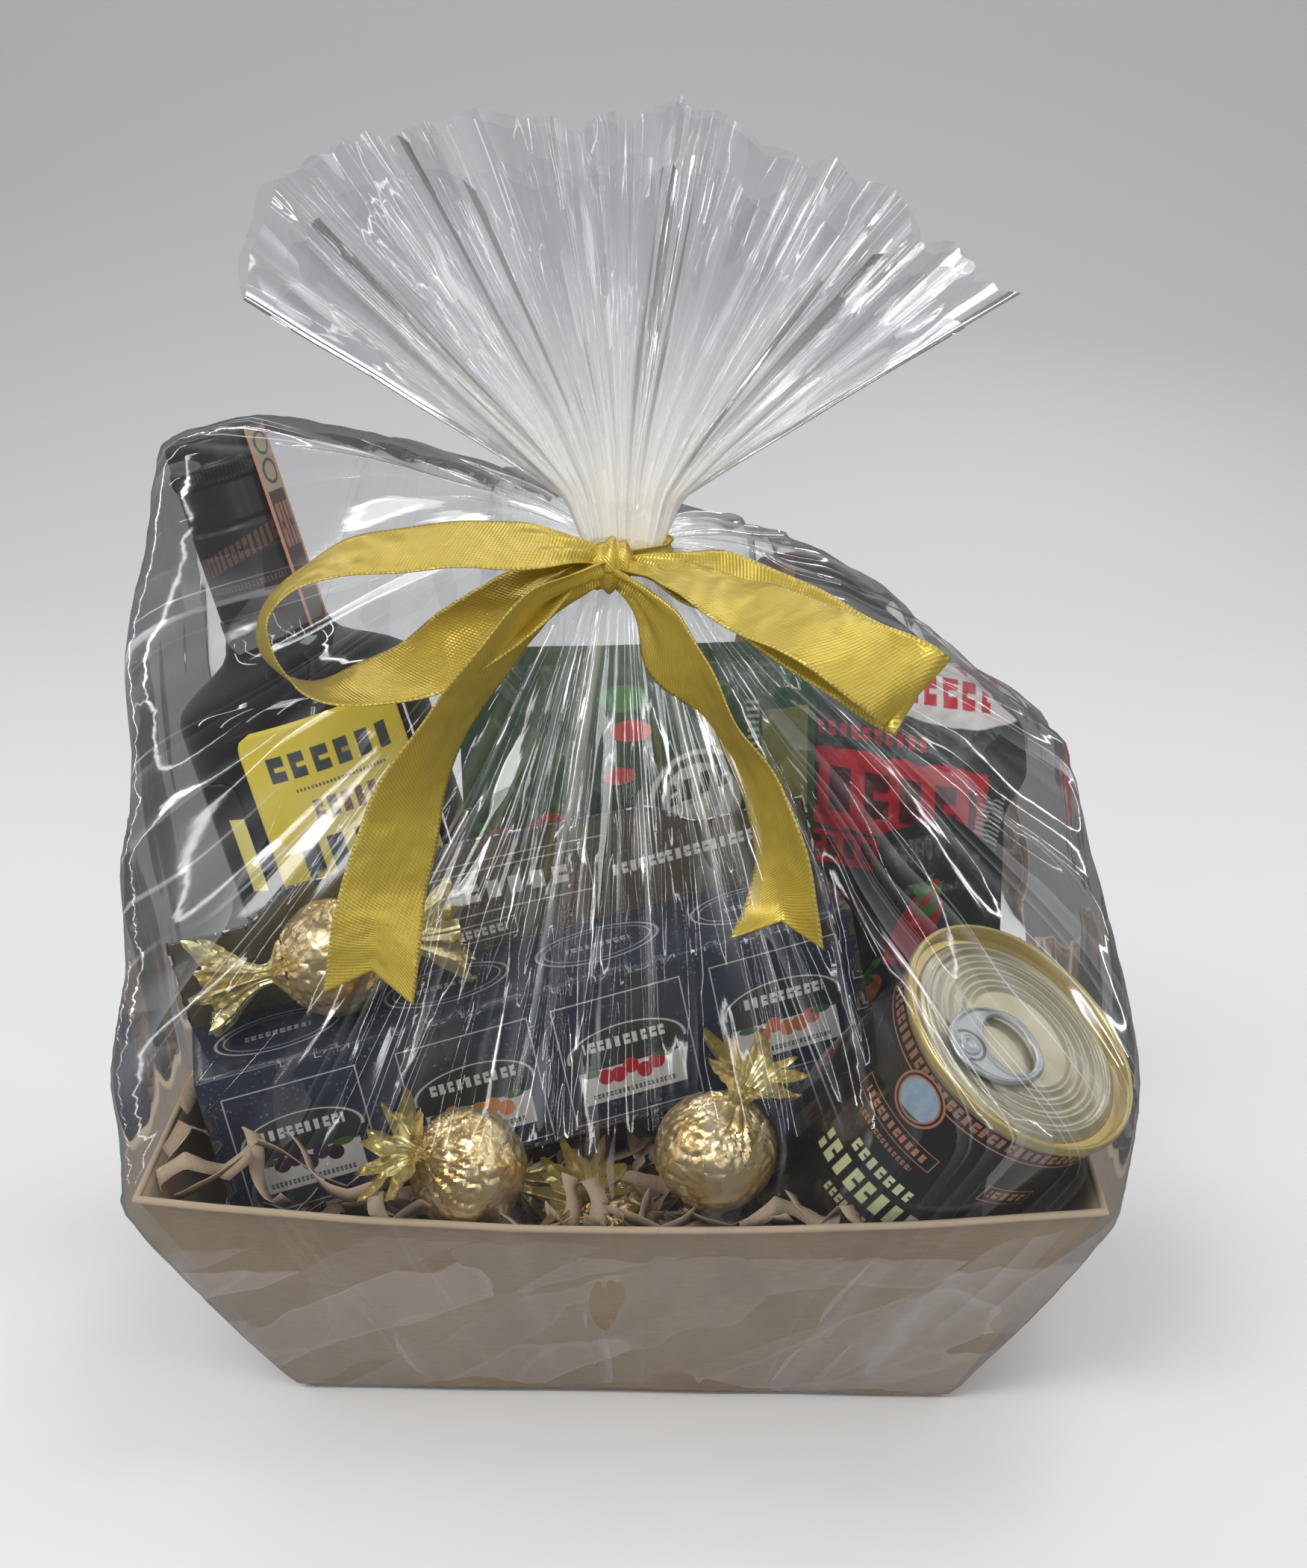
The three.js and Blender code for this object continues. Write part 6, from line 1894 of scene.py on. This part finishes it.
@dataclass
class Stage:
    """The camera at the photograph's angle, a pale floor, and soft light with a few narrow strips."""

    azimuth: float = 1.5
    elevation: float = 19.0
    distance: float = 0.6992
    target: Spot = (0.00736, 0.0, 0.17296)
    lens: float = 52.83
    lit: Spot = (0, 0, 0.15)

    def camera(self) -> None:
        """Looks at the basket's middle from slightly above."""
        data = bpy.data.cameras.new("camera")
        data.sensor_fit = "AUTO"
        data.sensor_width = 36
        data.lens = self.lens
        camera = add("camera", data)
        turn, rise = math.radians(self.azimuth), math.radians(self.elevation)
        back = Vector((math.sin(turn) * math.cos(rise), -math.cos(turn) * math.cos(rise), math.sin(rise)))
        camera.location = Vector(self.target) + back * self.distance
        camera.rotation_euler = back.to_track_quat("Z", "Y").to_euler()
        bpy.context.scene.camera = camera

    def sweep(self) -> None:
        """The floor: one plain pale sheet that curves up far behind the basket."""
        half, back, radius, rise, level = 3000, 840, 1200, 2200, 0.2
        run = np.linspace(-1, 1, 80)
        x = np.linspace(-half, half, 8)
        turn = np.clip((run - level) / 0.5, 0, 1) * math.pi / 2
        y = np.where(run < level, -half + (run + 1) * (half + back) / (1 + level), back + radius * sin(turn))
        z = np.where(run < level, 0, radius * (1 - cos(turn)) + rise * smooth(run, 0.7, 1.0))
        shader = Shader(bpy.data.materials.new("sweep"))
        paint = shader.done(shader.coat((0.8, 0.8, 0.8), 0.9))
        floor = make("sweep", Surface.grid(stacked(x, y[:, None], z[:, None] - 0.3)), paint)
        floor.visible_glossy = False

    def lamp(self, name: str, at: Spot, size: tuple[float, float], power: float) -> None:
        """A rectangular lamp aimed at the basket, in metres and watts."""
        data = bpy.data.lights.new(name, "AREA")
        data.shape = "RECTANGLE"
        data.size, data.size_y = size
        data.energy = power
        lamp = add(name, data)
        lamp.location = at
        lamp.rotation_euler = (Vector(at) - Vector(self.lit)).to_track_quat("Z", "Y").to_euler()

    def lights(self) -> None:
        """A broad soft light over the front, strips that draw the film's streaks, and a pale world."""
        shader = Shader(bpy.data.worlds.new("world"))
        pale = shader.node("Background", None, {0: (0.93, 0.95, 1.0), 1: 0.36}).outputs[0]
        dim = shader.node("Background", None, {1: 0.16}).outputs[0]
        glossy = shader.node("LightPath").outputs["Is Glossy Ray"]
        bpy.context.scene.world = shader.done(shader.blend(glossy, pale, dim), "World")
        self.lamp("key", (-0.45, -0.75, 1.15), (0.6, 0.5), 5.2)
        self.lamp("top", (0.35, 0.1, 1.35), (0.5, 0.5), 2.4)
        for k, turn in enumerate((-75, -48, -20, 14, 42, 70, 118, 165, 215, 255)):
            angle = math.radians(turn)
            at = (1.05 * math.sin(angle), -1.05 * math.cos(angle), 0.55 + 0.2 * (k % 3))
            self.lamp(f"strip_{k}", at, (0.03, 0.9), 1.0)
        self.lamp("bar_front", (0, -0.8, 1.15), (1.4, 0.03), 1.6)
        self.lamp("bar_back", (0, 0.75, 1.1), (1.4, 0.04), 2.0)

    def build(self) -> None:
        """Camera, floor, lights, and enough see-through bounces for the film's layers."""
        self.camera()
        self.sweep()
        self.lights()
        bpy.context.scene.cycles.transparent_max_bounces = 32
        bpy.context.scene.view_settings.view_transform = "Standard"


def packs() -> list[Pouch]:
    """The three packs behind the carton, with the solids' outlines."""
    return [
        Pouch("soup_pouch", "soup_pack", SoupPouch(), (3, 22, 148), 13, -3, 7.0,
              ((-57, 64), (57, 60), (55, -90), (-23, -90), (-38, -38), (-56, 6)), 1),
        Pouch("pepper_pouch", "pepper_pack", PepperPouch(), (94, 22, 108), 14, -4, 5.0,
              ((-15, 42), (8, 46), (23, 34), (23, -52), (-23, -52), (-22, 6)), 2),
        Pouch("peanut_pouch", "peanut_pack", PeanutPouch(), (73, 52, 143), 0, -3, 11.0,
              ((-34, 88), (-16, 90), (20, 60), (53, 33), (55, 15), (48, 4), (49, -88), (-42, -90),
               (-46, 40)), 3),
    ]


def sweets() -> list[Sweet]:
    """The four foil sweets: middle, and each twist's reach, bend and mouth."""
    return [
        Sweet(1, (-86.9, -33.5, 129.2), (((-37, -5, -9), 0, 12), ((36, 6, 8), 0, 12))),
        Sweet(2, (-44, -75, 82), (((-19, -11, 13), -3, 12.5), ((20, 14, -14), 0, 7))),
        Sweet(3, (27, -75, 88.5), (((11, -3, 30), -3, 12), ((-6, 20, -16), 0, 7))),
        Sweet(4, (-5, -59, 51), (((-7, -17, 27), -2, 12), ((6, 22, -14), 0, 7))),
    ]


def main() -> None:
    """Builds the basket from the tray outwards, then the stage."""
    logging.basicConfig(level=logging.INFO, format="%(message)s")
    for part in (Tray(), Shred(), Bottle(), Carton(), Can(), *packs(), *sweets(), Bow(), FilmWrap(), Stage()):
        part.build()
        LOG.info("built %s", type(part).__name__)


if __name__ == "__main__":
    main()
